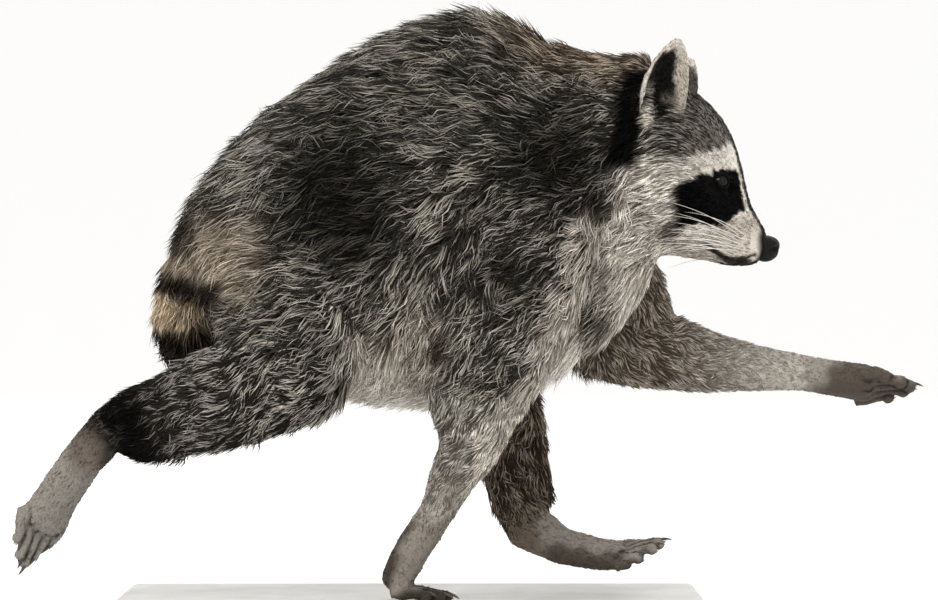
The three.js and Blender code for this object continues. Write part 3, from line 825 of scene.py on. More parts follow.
def lie_guides():
    """Places and the way the hair lies there, in millimetres of the frame."""
    guides = []
    # Back and sides: x, z, then the way along x and z. Both sides are alike.
    for x, z, dx, dz in [
        (150, 375, -1, -0.05), (126, 376, -1, 0.1), (87, 376, -0.8, 0.55), (41, 402, -0.95, 0.2),
        (-18, 376, -0.95, -0.2), (-71, 343, -0.85, -0.45), (-111, 310, -0.75, -0.6),
        (-137, 264, -0.6, -0.75), (-150, 238, -0.5, -0.8), (100, 336, -0.9, 0.1), (139, 330, -0.7, -0.55),
        (100, 284, -0.85, -0.4), (28, 330, -0.98, -0.1), (28, 270, -0.8, -0.55), (-38, 317, -0.95, -0.2),
        (-38, 251, -0.85, -0.45), (-97, 271, -0.85, -0.45), (-104, 225, -0.9, -0.35),
        (-18, 198, -0.5, -0.85), (8, 205, -0.3, -0.95), (-5, 165, -0.35, -0.93), (41, 231, -0.45, -0.9),
        (87, 238, -0.72, -0.68), (120, 244, -0.62, -0.78), (100, 205, -0.68, -0.73),
    ]:
        for side in (-1, 1):
            guides.append(((x, side * 72, z), (dx, 0, dz)))
    for x, z in [(120, 385), (60, 415), (0, 408), (-60, 375), (-110, 335), (-145, 290)]:  # along the spine
        guides.append(((x, 0, z), (-1, 0, -0.2)))
    for x, z in [(110, 170), (60, 150), (0, 146), (-50, 155)]:  # under the belly
        guides.append(((x, 0, z), (-1, 0, -0.15)))
        guides += [((x, side * 38, z + 6), (-0.75, 0, -0.65)) for side in (-1, 1)]
    # The thigh and the shoulder of the near side, as the photograph shows them.
    for x, y, z, dx, dz in [
        (-70, -84, 205, -0.9, -0.4), (-105, -84, 175, -0.9, -0.4), (-60, -84, 160, -0.88, -0.45),
        (60, -76, 175, -0.65, -0.75), (45, -74, 140, -0.6, -0.8),
    ]:
        guides.append(((x, y, z), (dx, 0, dz)))
    for name, path in LIMBS.items():
        for i in range(4):
            a, b = np.array(path[i], float), np.array(path[i + 1], float)
            if i == 0 and name == "hind_right":
                continue
            lean = np.array([0, 0, 0.0])
            if i == 1 and name == "front_right":
                lean = np.array([-0.25, 0, 0])
            for t in np.linspace(0.1 if i else 0.35, 0.9, 4):
                guides.append((tuple(a + (b - a) * t), tuple(unit(b - a) + lean)))
    for a, b in zip(TAIL_PATH, TAIL_PATH[1:]):
        guides.append((tuple((np.array(a) + b) / 2), tuple(np.array(b, float) - a)))
    places = np.array([g[0] for g in guides], float) * MM
    ways = unit(np.array([g[1] for g in guides], float))
    # The head, in its own frame: from the nose back over the face, the crown and the cheeks.
    head = []
    for x, y, z, dx, dy, dz in [
        (240, 5, 262, -0.8, 0.2, 0.5), (233, 12, 262, -0.9, 0.4, 0.0), (229, 6, 285, -0.35, 0.1, 0.9),
        (225, 5, 305, -0.2, 0.2, 1.0), (215, 8, 333, -0.6, 0.15, 0.8), (200, 12, 352, -0.9, 0.2, 0.3),
        (180, 10, 366, -1, 0.1, 0.0), (222, 16, 270, -0.9, 0.4, -0.1), (212, 26, 305, -0.75, 0.5, 0.35),
        (205, 32, 318, -0.85, 0.4, 0.3), (200, 36, 300, -0.9, 0.45, 0.05), (212, 28, 280, -0.85, 0.5, -0.1),
        (195, 44, 285, -0.85, 0.45, -0.15), (180, 52, 285, -0.8, 0.35, -0.45),
        (172, 54, 300, -0.8, 0.3, -0.4), (165, 52, 270, -0.65, 0.2, -0.7),
        (185, 44, 262, -0.8, 0.4, -0.4), (205, 20, 252, -0.9, 0.3, -0.2),
        (200, 10, 245, -0.95, 0.2, -0.3), (175, 10, 258, -0.8, 0.1, -0.6), (225, 6, 243, -0.9, 0.3, -0.1),
        (190, 40, 330, -0.85, 0.3, 0.1), (178, 48, 325, -0.8, 0.3, -0.3), (160, 52, 330, -0.8, 0.2, -0.5),
        (150, 40, 350, -0.9, 0.1, -0.2), (150, 52, 290, -0.6, 0.1, -0.75),
    ]:
        for side in (-1, 1):
            head.append(((x, side * y, z), (dx, side * dy, dz)))
    head_places = from_head(np.array([g[0] for g in head], float) * MM)
    head_ways = unit(np.array([g[1] for g in head], float)) @ HEAD_ROTATION.T
    return np.concatenate([places, head_places]), np.concatenate([ways, head_ways])


BATCH = 20000  # points at a time, so that the table of distances stays small


def lie_of(form, normals, ear):
    """The way the hair lies at each point of the skin, along the skin."""
    places, ways = lie_guides()
    flow = np.zeros_like(form.points)
    for start in range(0, len(form.points), BATCH):
        part = slice(start, start + BATCH)
        d2 = ((form.points[part, None, :] - places[None]) ** 2).sum(2) + (6 * MM) ** 2
        w = d2 ** -2
        flow[part] = (w[:, :, None] * ways[None]).sum(1)
    flow = unit(flow)
    # On the ears the hair points to their tips.
    up = from_head(np.array([[0, 0, 1.0]])) - from_head(np.zeros((1, 3)))
    on_ear = ramp(ear, 0.7, 0.98)[:, None]
    flow = flow * (1 - on_ear) + on_ear * (up + [[-0.15, 0, 0]])
    for _ in range(3):
        flow = form.smooth(flow, 8)
        flow = unit(flow - normals * (flow * normals).sum(1)[:, None])
    return flow


# ---------------------------------------------------------------- markings
class Marks:
    """Colours of the coat at given places: of its light hairs, its dark hairs and its wool, and the share
    of the hairs that are light. paint is given them in that order."""

    def __init__(self, points, parts):
        self.p, self.parts = points, parts
        n = len(points)
        self.light = np.tile(linear(184, 178, 167), (n, 1))
        self.dark = np.tile(linear(42, 39, 34), (n, 1))
        self.wool = np.tile(linear(50, 45, 38), (n, 1))
        self.share = np.full(n, 0.45)

    def kind(self, *names):
        return sum(self.parts[:, i] for i, n in enumerate(FLESH) if any(n.startswith(k) for k in names))

    def paint(self, where, light=None, dark=None, wool=None, share=None):
        w = np.clip(where, 0, 1)
        for old, new in ((self.light, light), (self.dark, dark), (self.wool, wool)):
            if new is not None:
                old += (linear(*new) - old) * w[:, None]
        if share is not None:
            self.share += (share - self.share) * w


def markings(points, parts):
    m = Marks(points, parts)
    mm = points / MM
    x, y, z = mm[:, 0], np.abs(mm[:, 1]), mm[:, 2]
    blur = wavy(points, 0.016, 3) * 4  # edges of markings wander by a few millimetres
    blotch = wavy(points, 0.035, 5)
    both = mirrored(points)
    body = m.kind("trunk", "neck", "upper_arm", "thigh")
    # The back is darker above, nearly black over the loins and the shoulder, and paler in streaks.
    m.paint(ramp(z + blur, 250, 350) * body, (164, 159, 148), (40, 38, 33), share=0.42)
    m.paint(ramp(blotch, 0.3, 1.5) * body * 0.8, (172, 167, 156), share=0.47)
    m.paint(ramp(blotch, -0.5, -1.5) * body * 0.7, (104, 99, 90), (30, 28, 24), share=0.3)
    for centre, reach, soft, light, dark, share in [
        ((-50, 70, 288), (66, 84, 80), 0.85, (70, 66, 59), (16, 15, 13), 0.32),
        ((-33, 70, 268), (40, 60, 42), 0.8, (62, 58, 52), (14, 13, 11), 0.3),
        ((98, 62, 312), (62, 60, 60), 0.9, (62, 57, 50), (13, 12, 10), 0.3),
        ((66, 70, 232), (44, 60, 40), 0.9, (124, 119, 108), (28, 26, 22), 0.34),
    ]:
        m.paint(spot(both, centre, reach, soft) * body, light, dark, share=share)
    m.paint(spot(both, (118, 58, 274), (34, 44, 26), 0.8), (90, 84, 77), (20, 18, 16), share=0.32)
    # Brown over the shoulders and the nape.
    m.paint(spot(points, (95, 0, 385), (75, 60, 50), 0.7), (164, 148, 131), (66, 56, 47), (84, 68, 55))
    m.paint(spot(points, (140, 0, 378), (45, 60, 34), 0.6), (172, 157, 140), (72, 61, 52), (74, 60, 49),
            share=0.4)
    # Buff on the rump beside the tail.
    m.paint(ramp(x + blur, -84, -116) * ramp(z, 208, 224) * ramp(z, 280, 258) * body, (200, 187, 170),
            (132, 118, 103), (136, 122, 107), share=0.6)
    m.paint(spot(points, (-98, -52, 316), (24, 40, 30), 0.7), (178, 172, 164), share=0.66)
    # The belly is cream, with longer pale hair along its edge and up the fold of the flank.
    belly = ramp(z + blur * 1.3 - 0.05 * np.abs(x), 198, 176) \
        * (m.kind("trunk") + m.kind("thigh", "upper_arm") * ramp(y, 52, 36))
    m.paint(belly, (250, 243, 233), (206, 194, 178), (200, 187, 171), share=0.8)
    m.paint(spot(both, (4, 66, 190), (30, 44, 50), 0.9), (226, 217, 204), (122, 111, 99), (130, 118, 105),
            share=0.7)
    m.paint(spot(points, (20, -66, 184), (13, 30, 14), 0.8), (128, 112, 97), (46, 39, 33), (60, 51, 43),
            share=0.35)
    # The chest and throat are cream, and this runs down the front of the near foreleg.
    chest = ramp(x + (z - 240) * 0.25 + blur, 112, 136) * ramp(z, 275, 255) \
        * m.kind("trunk", "neck", "upper_arm")
    m.paint(chest, (230, 223, 213), (172, 160, 147), (160, 148, 135), share=0.74)
    # Legs.
    t = {k: along(points, LIMBS[k][1], LIMBS[k][2]) for k in LIMBS}
    arm, low = m.kind("upper_arm_front_right"), m.kind("forearm_front_right", "hand_front_right")
    m.paint(low, (186, 181, 172), (96, 89, 81), (116, 108, 99), share=0.55)
    m.paint(low * ramp(z, 130, 95), (176, 170, 161), (120, 112, 104), (134, 126, 117))
    front = x - (45 + (z - 160) * 0.32)  # how far ahead of the near foreleg's middle
    m.paint(low * ramp(front + blur, 8, 17) * ramp(z, 70, 100), (214, 206, 196), (150, 140, 128),
            (150, 140, 128), share=0.75)
    m.paint(arm * ramp(front + blur, 25, 33), (214, 206, 196), (150, 140, 128), share=0.7)
    far = m.kind("upper_arm_front_left", "forearm_front_left")
    m.paint(far, (168, 157, 144), (88, 78, 68), (96, 84, 73), share=0.55)
    m.paint(m.kind("forearm_front_left") * ramp(x + blur, 170, 235), (178, 172, 163), (146, 138, 129),
            (152, 144, 135), share=0.55)
    m.paint(m.kind("upper_arm_front_left") * ramp(z, 215, 255), (200, 190, 178), (120, 108, 96))
    for side in ("right", "left"):
        shank = m.kind(f"shank_hind_{side}")
        s = t[f"hind_{side}"]
        m.paint(shank * ramp(s, 0.1, 0.6), (158, 153, 146), (46, 42, 37), (60, 54, 47), share=0.36)
        m.paint(shank * ramp(s + blur * 0.012, 0.62, 0.92), (52, 47, 42), (9, 8, 7), (9, 8, 7), share=0.06)
    s = along(points, LIMBS["hind_right"][2], LIMBS["hind_right"][3])
    m.paint(m.kind("foot_hind_right"), (34, 30, 26), (12, 10, 9), (13, 11, 10), share=0.3)
    m.paint(m.kind("foot_hind_right") * ramp(s + blur * 0.02, 0.1, 0.42), (132, 127, 120), (112, 106, 100),
            (119, 114, 107), share=0.5)
    m.paint(spot(points, (-213, -56, 117), (18, 24, 24), 0.8), (112, 102, 93), (78, 69, 61), (84, 75, 67))
    m.paint(m.kind("shank_hind_left", "foot_hind_left"), (146, 134, 120), (62, 53, 45), (66, 56, 48),
            share=0.38)
    s = along(points, LIMBS["hind_left"][2], LIMBS["hind_left"][3])
    m.paint(m.kind("foot_hind_left") * ramp(s + blur * 0.03, -0.02, 0.36), (138, 132, 125), (108, 101, 94),
            (118, 111, 104), share=0.5)
    # A darker band along the far hind foot's lower edge: painted shade on its underside.
    under = z + (x - 87) * 0.19 - 47 + blur * 0.6  # how far above the far hind foot's lower edge
    m.paint(m.kind("foot_hind_left") * ramp(under, 9, 3) * ramp(x, 88, 98), (100, 92, 84), (62, 56, 50),
            (68, 61, 55), share=0.4)
    m.paint(spot(points, (161, 38, 41), (6, 24, 9), 0.7) * m.kind("foot_hind_left"), (58, 51, 45),
            (34, 29, 26), (36, 31, 27), share=0.3)
    near_hand = m.kind("hand_front_right", "forearm_front_right")
    m.paint(near_hand * ramp(z + blur, 84, 60), (140, 133, 124), (108, 101, 93), (112, 105, 97), share=0.5)
    m.paint(near_hand * ramp(z - x * 0.4 + blur * 0.5, 30, 20), (66, 60, 54), (48, 43, 39), (50, 45, 41))
    m.paint(near_hand * ramp(z + blur, 92, 60) * ramp(x + 6 - (z - 45) * 0.3 + blur * 0.4, 3, -5),
            (84, 76, 69), (48, 42, 37), (54, 47, 42), share=0.3)
    far_hand = m.kind("hand_front_left", "forearm_front_left") * ramp(x + blur * 1.4 - (z - 165), 279, 295)
    m.paint(far_hand, (86, 79, 71), (66, 59, 53), (70, 63, 57), share=0.5)
    m.paint(far_hand * ramp(x + blur, 335, 345) * ramp(z, 158, 166), (150, 143, 134), (120, 113, 104),
            (124, 116, 108))
    # Bare leather under the paws, and darker folds along the toes between them: painted shade in the
    # creases.
    sole = bare_sole(points)
    m.paint(sole, (80, 72, 65), (68, 61, 55), (68, 61, 55), share=0.5)
    for paw in PAWS:
        near, next_, where, _ = toe_distances(points, paw)
        # Painted shade in the creases between neighbouring toes.
        fold = np.exp(-((next_ - near) / (1.5 * MM)) ** 2) * (near < 5 * MM) * ramp(where, -0.35, -0.05)
        m.paint(fold * 0.95, (34, 29, 26), (26, 22, 20), (28, 24, 21))
    # The tail's rings, by height along it and its length.
    tail = m.kind("tail")
    down = tail_place(points) + blur * 0.25
    m.paint(tail, (224, 203, 174), (176, 155, 128), (166, 146, 120), share=0.7)
    m.paint(ramp(x + blur, -141, -149) * ramp(z, 243, 249) * ramp(z, 286, 272), (96, 89, 80), (38, 33, 28),
            (44, 38, 32), share=0.32)
    for lo, hi in [(36, 53), (67, 96), (116, 133), (151, 240)]:
        w = ramp(down, lo - 2, lo + 2) * ramp(down, hi + 2, hi - 2)
        m.paint(tail * w, (64, 56, 48), (26, 22, 19), (26, 22, 18), share=0.32)
    m.paint(tail * ramp(down, 151, 157), (112, 105, 96), (52, 47, 42), (54, 49, 44), share=0.4)
    ring = ramp(np.abs(z - 229 + (x + 172) * 0.19 + blur * 0.3), 9.5, 6.5) * ramp(x + blur, -122, -130)
    m.paint(ring, (64, 56, 47), (27, 23, 19), (26, 22, 18), share=0.32)
    # Light and dark hairs are nearer to each other over the body than these colours say.
    gap = (m.light - m.dark) * body[:, None]
    m.light, m.dark = m.light - gap * 0.13, m.dark + gap * 0.04
    face(m)
    return m


def tail_place(points):
    """How far along the tail each point is, in millimetres from its root."""
    best, place, run = np.full(len(points), 1e9), np.zeros(len(points)), 0.0
    for a, b in zip(TAIL_PATH, TAIL_PATH[1:]):
        a, b = np.array(a, float), np.array(b, float)
        t = np.clip((points / MM - a) @ (b - a) / ((b - a) @ (b - a)), -0.6 if run == 0 else 0, 1)
        d = np.linalg.norm(points / MM - a - np.outer(t, b - a), axis=1)
        length = np.linalg.norm(b - a)
        closer = d < best
        place[closer], best[closer] = (run + t * length)[closer], d[closer]
        run += length
    return place


def face(m):
    h = of_head(m.p) / MM
    x, y, z = h[:, 0], np.abs(h[:, 1]), h[:, 2]
    rough = wavy(m.p, 0.007, 8) * 1.2 + wavy(m.p, 0.0028, 9) * 0.5
    head = m.kind("head", "jaw", "ear", "neck")
    on = head * ramp(x, 128, 146)
    # Grey over the crown and the forehead.
    m.paint(on * ramp(x, 160, 176) * ramp(z, 296, 312), (130, 125, 118), (44, 41, 37), (62, 58, 53),
            share=0.42)
    m.paint(on * ramp(y, 16, 5) * ramp(x + z * 0.2, 240, 262) * ramp(z, 318, 330), (104, 99, 92),
            (42, 39, 35), share=0.35)
    # Pale cheeks, and the ruff behind them.
    cheek = ramp(x, 136, 152) * ramp(z + (x - 150) * 0.1 + rough * 2, 318, 302) * ramp(z, 236, 252)
    m.paint(head * cheek, (228, 222, 212), (140, 132, 122), (156, 148, 138), share=0.72)
    # The white brow runs from the bridge back over the eye.
    middle = 313 - (218 - x) * 0.42
    brow = ramp(np.abs(z - middle + rough), 9.5 + (218 - x) * 0.06, 5.5) * ramp(y, 5.5, 8.5) \
        * ramp(x, 166, 184)
    m.paint(head * brow, (206, 200, 190), (154, 147, 138), (164, 157, 148), share=0.85)
    strip = ramp(z + rough, 292, 297) * ramp(z + rough, 326, 319) * ramp(y, 6.5, 8.5) * ramp(y, 16, 13) \
        * ramp(x, 208, 213)
    m.paint(strip, (222, 216, 206), (190, 183, 174), (196, 189, 180), share=0.95)
    # White muzzle.
    muzzle = ramp(x + rough, 203, 212) * ramp(z + rough - (x - 215) * 0.2, 274, 268)
    m.paint(head * muzzle, (180, 171, 160), (138, 129, 119), (148, 140, 129), share=0.8)
    m.paint(head * ramp(z + rough, 262, 256) * ramp(x, 176, 190), (196, 188, 177), (146, 138, 127),
            (158, 150, 139), share=0.8)
    # The black mask, from beside the bridge back and down over the cheek.
    upper = 304.5 - np.clip(212 - x, 0, 40) * 0.53
    lower = 266 + np.clip(x - 214, 0, 20) * 0.9 - np.clip(200 - x, 0, 20) * 0.1
    mask = ramp(upper - z + rough, -1.5, 1.5) * ramp(z - lower + rough, -1.5, 1.5) \
        * ramp(x + rough, 181, 185.5)
    mask *= ramp(y, 7.6, 9.4)
    m.paint(head * mask, (5, 5, 5), (2, 2, 2), (2, 2, 2), share=0.04)
    smear = spot(from_points(x + rough * 2, y, z + rough * 2), (180, 36, 258), (16, 24, 12), 0.85)
    m.paint(smear, (86, 73, 61), (34, 28, 23), (42, 35, 29), share=0.3)
    # A dark stripe from the forehead down the bridge to the nose.
    stripe = ramp(y + rough * 0.5, 7.0, 4.6) * ramp(z, 342, 330) * ramp(x, 206, 212)
    m.paint(stripe, (74, 68, 62), (34, 31, 29), (38, 35, 32), share=0.3)
    # Lips and chin.
    mouth = mouth_distance(x, z) + 1.6 * ramp(z - (259 - (x - 188) * 0.466), 0, 1)
    m.paint(head * ramp(mouth + rough * 0.4, 3.6, 1.6) * ramp(x, 198, 206), (50, 44, 39), (28, 24, 21),
            (32, 28, 25), share=0.2)
    # A darker spot at the front of the mouth line: the lips' own dark colour, and painted shade under the
    # overhanging upper lip.
    m.paint(spot(from_points(x, y, z), (224, 9, 243), (12, 9, 5), 0.5), (60, 52, 47), (34, 30, 27),
            (40, 35, 32), share=0.2)
    m.paint(spot(from_points(x, y, z), (240, 0, 253), (11.5, 14, 15), 0.3), (26, 24, 22), (14, 13, 12),
            (16, 15, 14), share=0.1)
    # Ears: pale rims and tips, dark behind, and a dark hollow with pale hair along its front.
    for side in (-1, 1):
        q = of_ear(m.p, side)
        ear = m.kind(f"ear_{'left' if side > 0 else 'right'}")
        reach = [EAR_WIDE * 0.85, EAR_DEEP, EAR_HEIGHT * 0.9]
        inner = np.linalg.norm((q + [0, EAR_DEEP * 0.45, 0]) / reach, axis=1)
        hollow = ramp(inner + rough * 0.02, 1.09, 0.99)
        m.paint(ear, (188, 179, 167), (118, 108, 97), (140, 130, 119), share=0.7)
        m.paint(ear * ramp(q[:, 1], 1, 4), (96, 90, 82), (44, 40, 36), (56, 51, 46), share=0.4)
        hollow *= ramp(q[:, 2], -11, -4) * (1 - ramp(q[:, 1], 0, 4) * ramp(q[:, 2], 5, 1))
        m.paint(hollow, (50, 45, 39), (15, 13, 11), (17, 15, 13), share=0.22)
        m.paint(hollow * ramp(q[:, 0] + rough, 2, 7) * ramp(q[:, 2] + rough, 3, 9), (196, 188, 177),
                (122, 113, 102), (132, 123, 112), share=0.7)
        m.paint(ear * ramp(q[:, 2] + rough, 24, 30), (204, 195, 183), (160, 150, 138), (168, 158, 147),
                share=0.85)
        rim = ear * ramp(np.abs(inner - 1.1), 0.10, 0.03) * ramp(q[:, 1], 2, -1)
        m.paint(rim, (200, 193, 183), (158, 150, 139), (166, 158, 147), share=0.85)
        if side > 0:
            m.paint(ear * ramp(h[:, 1], 40, 34), (92, 86, 79), (52, 48, 43), (60, 55, 50), share=0.4)
    # The near ear's hollow goes on down to a point in front of a pale rim.
    out = ramp(-h[:, 1], 26, 31)
    behind = 168 + np.clip(z - 355, 0, 30) * 0.33
    ahead = np.clip(169 + (z - 330) * 0.8, 0, 182)
    m.paint(out * ramp(z, 340, 352) * ramp(z, 376, 369) * ramp(x + rough, 181, 185) *
            ramp(x + rough, 197, 193), (196, 188, 177), (122, 113, 102), (132, 123, 112), share=0.7)
    m.paint(out * ramp(x - behind + rough, -1, 1) * ramp(ahead - x + rough, -1, 1.5) * ramp(z, 328, 333) *
            ramp(z, 380, 374), (30, 27, 24), (9, 8, 7), (10, 9, 8), share=0.16)
    m.paint(out * ramp(np.abs(x - 165.3 + rough * 0.4), 3.2, 2) * ramp(z, 327, 332) * ramp(z, 352, 346),
            (190, 183, 172), (150, 142, 131), (156, 148, 138), share=0.8)
    # Black behind the ear.
    wide = 8 + 3 * ramp(z, 325, 350)
    patch = ramp(np.abs(x - 149 - (z - 310) * 0.2 + rough) - wide, 3, 0) * ramp(y, 13, 22) \
        * ramp(z, 296, 306) * ramp(z, 374, 367) * ramp(x - np.clip(z - 352, 0, 40) * 0.2, 162, 160)
    m.paint(patch, (7, 7, 6), (3, 3, 3), (3, 3, 3), share=0.03)


EAR_WIDE, EAR_DEEP, EAR_HEIGHT = 18.5, 11, 36
EAR_LEAN, EAR_SPLAY, EAR_FACING = (math.radians(a) for a in (17, 12, 34))
EAR_ROTATION = np.array(Matrix.Rotation(EAR_SPLAY, 3, "X") @ Matrix.Rotation(EAR_LEAN, 3, "Y")
                        @ Matrix.Rotation(EAR_FACING, 3, "Z"))


def of_ear(points, side):
    """Places in an ear's own frame, in millimetres: across it, through it (its hollow at minus) and up."""
    h = of_head(points) / MM
    if side > 0:
        h = h * [1, -1, 1]
    return (h - EAR_AT / MM * [1, -1, 1]) @ EAR_ROTATION


def mirrored(points):
    """The same places on the left side, for marks that are alike on both."""
    return np.abs(points * [0, 1, 0]) + points * [1, 0, 1]


def bare_sole(points):
    """1 on the bare undersides of the paws."""
    best = np.zeros(len(points))
    for paw in PAWS:
        knuckle, _, up, _, _ = toes_of(paw)[2]
        d = points - knuckle
        low = ramp(d @ up, -0.5 * MM, -6.5 * MM) * ramp(np.linalg.norm(d, axis=1), 48 * MM, 40 * MM)
        best = np.maximum(best, low)
    return best


def from_points(x, y, z):
    return np.stack([x, y, z], 1) * MM


# ---------------------------------------------------------------- tufts
# For each kind of part: how many long tufts and short tufts to a square centimetre, the long ones' length,
# width and lift off the skin (millimetres and degrees), and the short ones' length and width.
HAIR = {
    "trunk": (24, 8, 27, 0.94, 40, 13, 1.85), "neck": (26, 9, 21, 0.9, 30, 11, 1.55),
    "head": (0, 66, 9, 0.72, 22, 5, 0.72), "jaw": (0, 58, 4, 0.5, 16, 3.2, 0.52),
    "ear": (0, 84, 4, 0.5, 10, 2.8, 0.5), "tail": (32, 14, 20, 1.05, 48, 12, 1.7),
    "upper_arm": (26, 12, 21, 0.88, 34, 12, 1.5), "forearm": (0, 44, 13, 0.8, 24, 10.5, 0.85),
    "hand": (0, 18, 4, 0.5, 12, 3.0, 0.45), "thigh": (26, 10, 25, 0.92, 36, 13, 1.7),
    "shank": (16, 24, 18, 0.85, 28, 12, 1.05), "foot": (0, 20, 5, 0.5, 14, 3.4, 0.48),
}
LONG_PER, SHORT_PER, LONG, WIDE, LIFT, SHORT, SHORT_WIDE = range(7)
MOST_TRIANGLES = 190000  # in one piece of the coat
PATCH = 0.003  # the width of a tuft's patch on the UV map


def hair_by(parts, column):
    return by_kind(parts, {k: v[column] for k, v in HAIR.items()})


class Roots:
    """Places on the skin where tufts grow, with what is known there."""

    def __init__(self, form, fields, per_cm2, seed):
        rng = np.random.default_rng(seed)
        a, b, c = (form.points[form.tris[:, i]] for i in range(3))
        area = np.linalg.norm(np.cross(b - a, c - a), axis=1) / 2
        due = area * 1e4 * per_cm2[form.tris].mean(1)
        total = int(due.sum())
        steps = (np.arange(total) + rng.random(total)) * due.sum() / max(total, 1)
        pick = np.minimum(np.searchsorted(np.cumsum(due), steps), len(due) - 1)
        u, v = within(rng, total)
        self.rng, self.n = rng, total
        self.w = np.stack([1 - u - v, u, v], 1)
        self.corner = form.tris[pick]
        self.point = self.at(form.points)
        for name, values in fields.items():
            setattr(self, name, self.at(values))
        self.normal, self.flow = unit(self.normal), unit(self.flow)
        self.uv = (form.uv[form.loops][pick] * self.w[:, :, None]).sum(1)

    def at(self, values):
        v = values[self.corner]
        return (v * (self.w[:, :, None] if v.ndim == 3 else self.w)).sum(1)


def turned(v, axis, angle):
    """Vectors turned about their own axes."""
    c, s = np.cos(angle)[:, None], np.sin(angle)[:, None]
    return v * c + np.cross(axis, v) * s + axis * (axis * v).sum(1)[:, None] * (1 - c)


BEND_STEPS = 12  # in which the bend of a hair is worked out
LOCK_REACH = 12 * MM  # tufts further than this from the middle of their lock aren't drawn to it
ROOT_DEPTH = 0.6 * MM


def tuft_shapes(roots, length, rings, clump_every, pull, wave):
    """The tufts' middle lines, the way up from the skin, each one's lock and the stations along a line."""
    rng, n = roots.rng, roots.n
    swirl = wavy(roots.point, 0.022, 21) * 0.40 + wavy(roots.point, 0.009, 22) * 0.40
    way = turned(roots.flow, roots.normal, swirl * roots.wild + rng.normal(0, 0.13, n))
    s = np.linspace(0, 1, rings + 1)
    start = np.radians(hair_by(roots.parts, LIFT)) * rng.uniform(0.75, 1.3, n)
    end = np.radians(rng.normal(2, 7, n))
    angle = start[:, None] + (end - start)[:, None] * np.sqrt(np.linspace(0, 1, BEND_STEPS + 1))[None]
    between = (angle[:, 1:] + angle[:, :-1]) / 2
    at = np.round(s * BEND_STEPS).astype(int)
    run, rise = (np.concatenate([np.zeros((n, 1)), np.cumsum(f(between), 1) / BEND_STEPS], 1)[:, at]
                 * length[:, None] for f in (np.cos, np.sin))
    side = unit(np.cross(roots.normal, way))
    line = roots.point[:, None] + way[:, None] * run[:, :, None] + roots.normal[:, None] * rise[:, :, None]
    # Neighbours lean together into locks, and each lock waves a little.
    centres = np.arange(0, n, clump_every)
    own = centres[nearest(roots.point, roots.point[centres])]
    lock_wave = rng.uniform(0, 2 * math.pi, n)[own]
    size = wave * rng.uniform(0.4, 1.2, n)[own]
    shift = np.sin(lock_wave[:, None] + s[None] * 2 * math.pi * 1.2) - np.sin(lock_wave)[:, None]
    line = line + side[:, None] * (shift * s[None] * size[:, None])[:, :, None]
    toward = line[own] - line
    close = np.linalg.norm(roots.point - roots.point[own], axis=1) < LOCK_REACH
    line = line + toward * (pull * (s ** 1.3))[None, :, None] * close[:, None, None]
    # Hair under the belly hangs.
    line[:, :, 2] -= (roots.sag * length)[:, None] * s[None] ** 1.5
    line[:, 0] -= roots.normal * ROOT_DEPTH
    return line, roots.normal, own, s


def tuft_mesh(name, line, up0, width, thick, colours, uv, profile):
    """One mesh of closed, three-sided, tapered tufts."""
    n, k = line.shape[:2]  # the last place is the tip
    along_it = unit(np.gradient(line, axis=1))
    side = unit(np.cross(np.repeat(up0[:, None], k, 1), along_it))
    up = np.cross(along_it, side)
    rings = k - 1
    w = (width[:, None] * profile[None, :rings])[:, :, None] / 2
    t = (thick[:, None] * profile[None, :rings])[:, :, None]
    c, sd, u = line[:, :rings], side[:, :rings], up[:, :rings]
    ring = np.stack([c - sd * w - u * t * 0.3, c + sd * w - u * t * 0.3, c + u * t * 0.7], 2)
    points = np.concatenate([ring.reshape(n, rings * 3, 3), line[:, -1:]], 1)
    per = rings * 3 + 1
    faces = [(2, 1, 0)]
    for r in range(rings - 1):
        for i in range(3):
            a, b = r * 3 + i, r * 3 + (i + 1) % 3
            faces += [(a, b, b + 3), (a, b + 3, a + 3)]
    last = (rings - 1) * 3
    faces += [(last + i, last + (i + 1) % 3, per - 1) for i in range(3)]
    faces = np.array(faces)
    tris = (faces[None] + (np.arange(n) * per)[:, None, None]).reshape(-1, 3)
    colour = np.concatenate([np.repeat(colours[:, :rings], 3, axis=1), colours[:, rings:]], 1)
    across = np.concatenate([np.tile([-0.5, 0.5, 0.0], rings), [0.0]])
    down = np.concatenate([np.repeat(np.arange(rings) / rings, 3), [1.0]]) - 0.5
    spot_uv = np.clip(uv[:, None] + np.stack([across, down], 1)[None] * PATCH, 0, 1)
    mesh = bpy.data.meshes.new(name)
    fill_mesh(mesh, points.reshape(-1, 3), tris)
    coloured(mesh, colour.reshape(-1, 3))
    layer = mesh.uv_layers.new(name="OFBake")
    layer.data.foreach_set("uv", spot_uv.reshape(-1, 2)[tris.ravel()].astype(np.float32).ravel())
    return mesh


def fill_mesh(mesh, points, tris):
    mesh.vertices.add(len(points))
    mesh.vertices.foreach_set("co", points.astype(np.float32).ravel())
    mesh.loops.add(len(tris) * 3)
    mesh.loops.foreach_set("vertex_index", tris.astype(np.int32).ravel())
    mesh.polygons.add(len(tris))
    mesh.polygons.foreach_set("loop_start", (np.arange(len(tris)) * 3).astype(np.int32))
    mesh.polygons.foreach_set("loop_total", np.full(len(tris), 3, np.int32))
    mesh.polygons.foreach_set("use_smooth", np.ones(len(tris), bool))
    mesh.update(calc_edges=True)


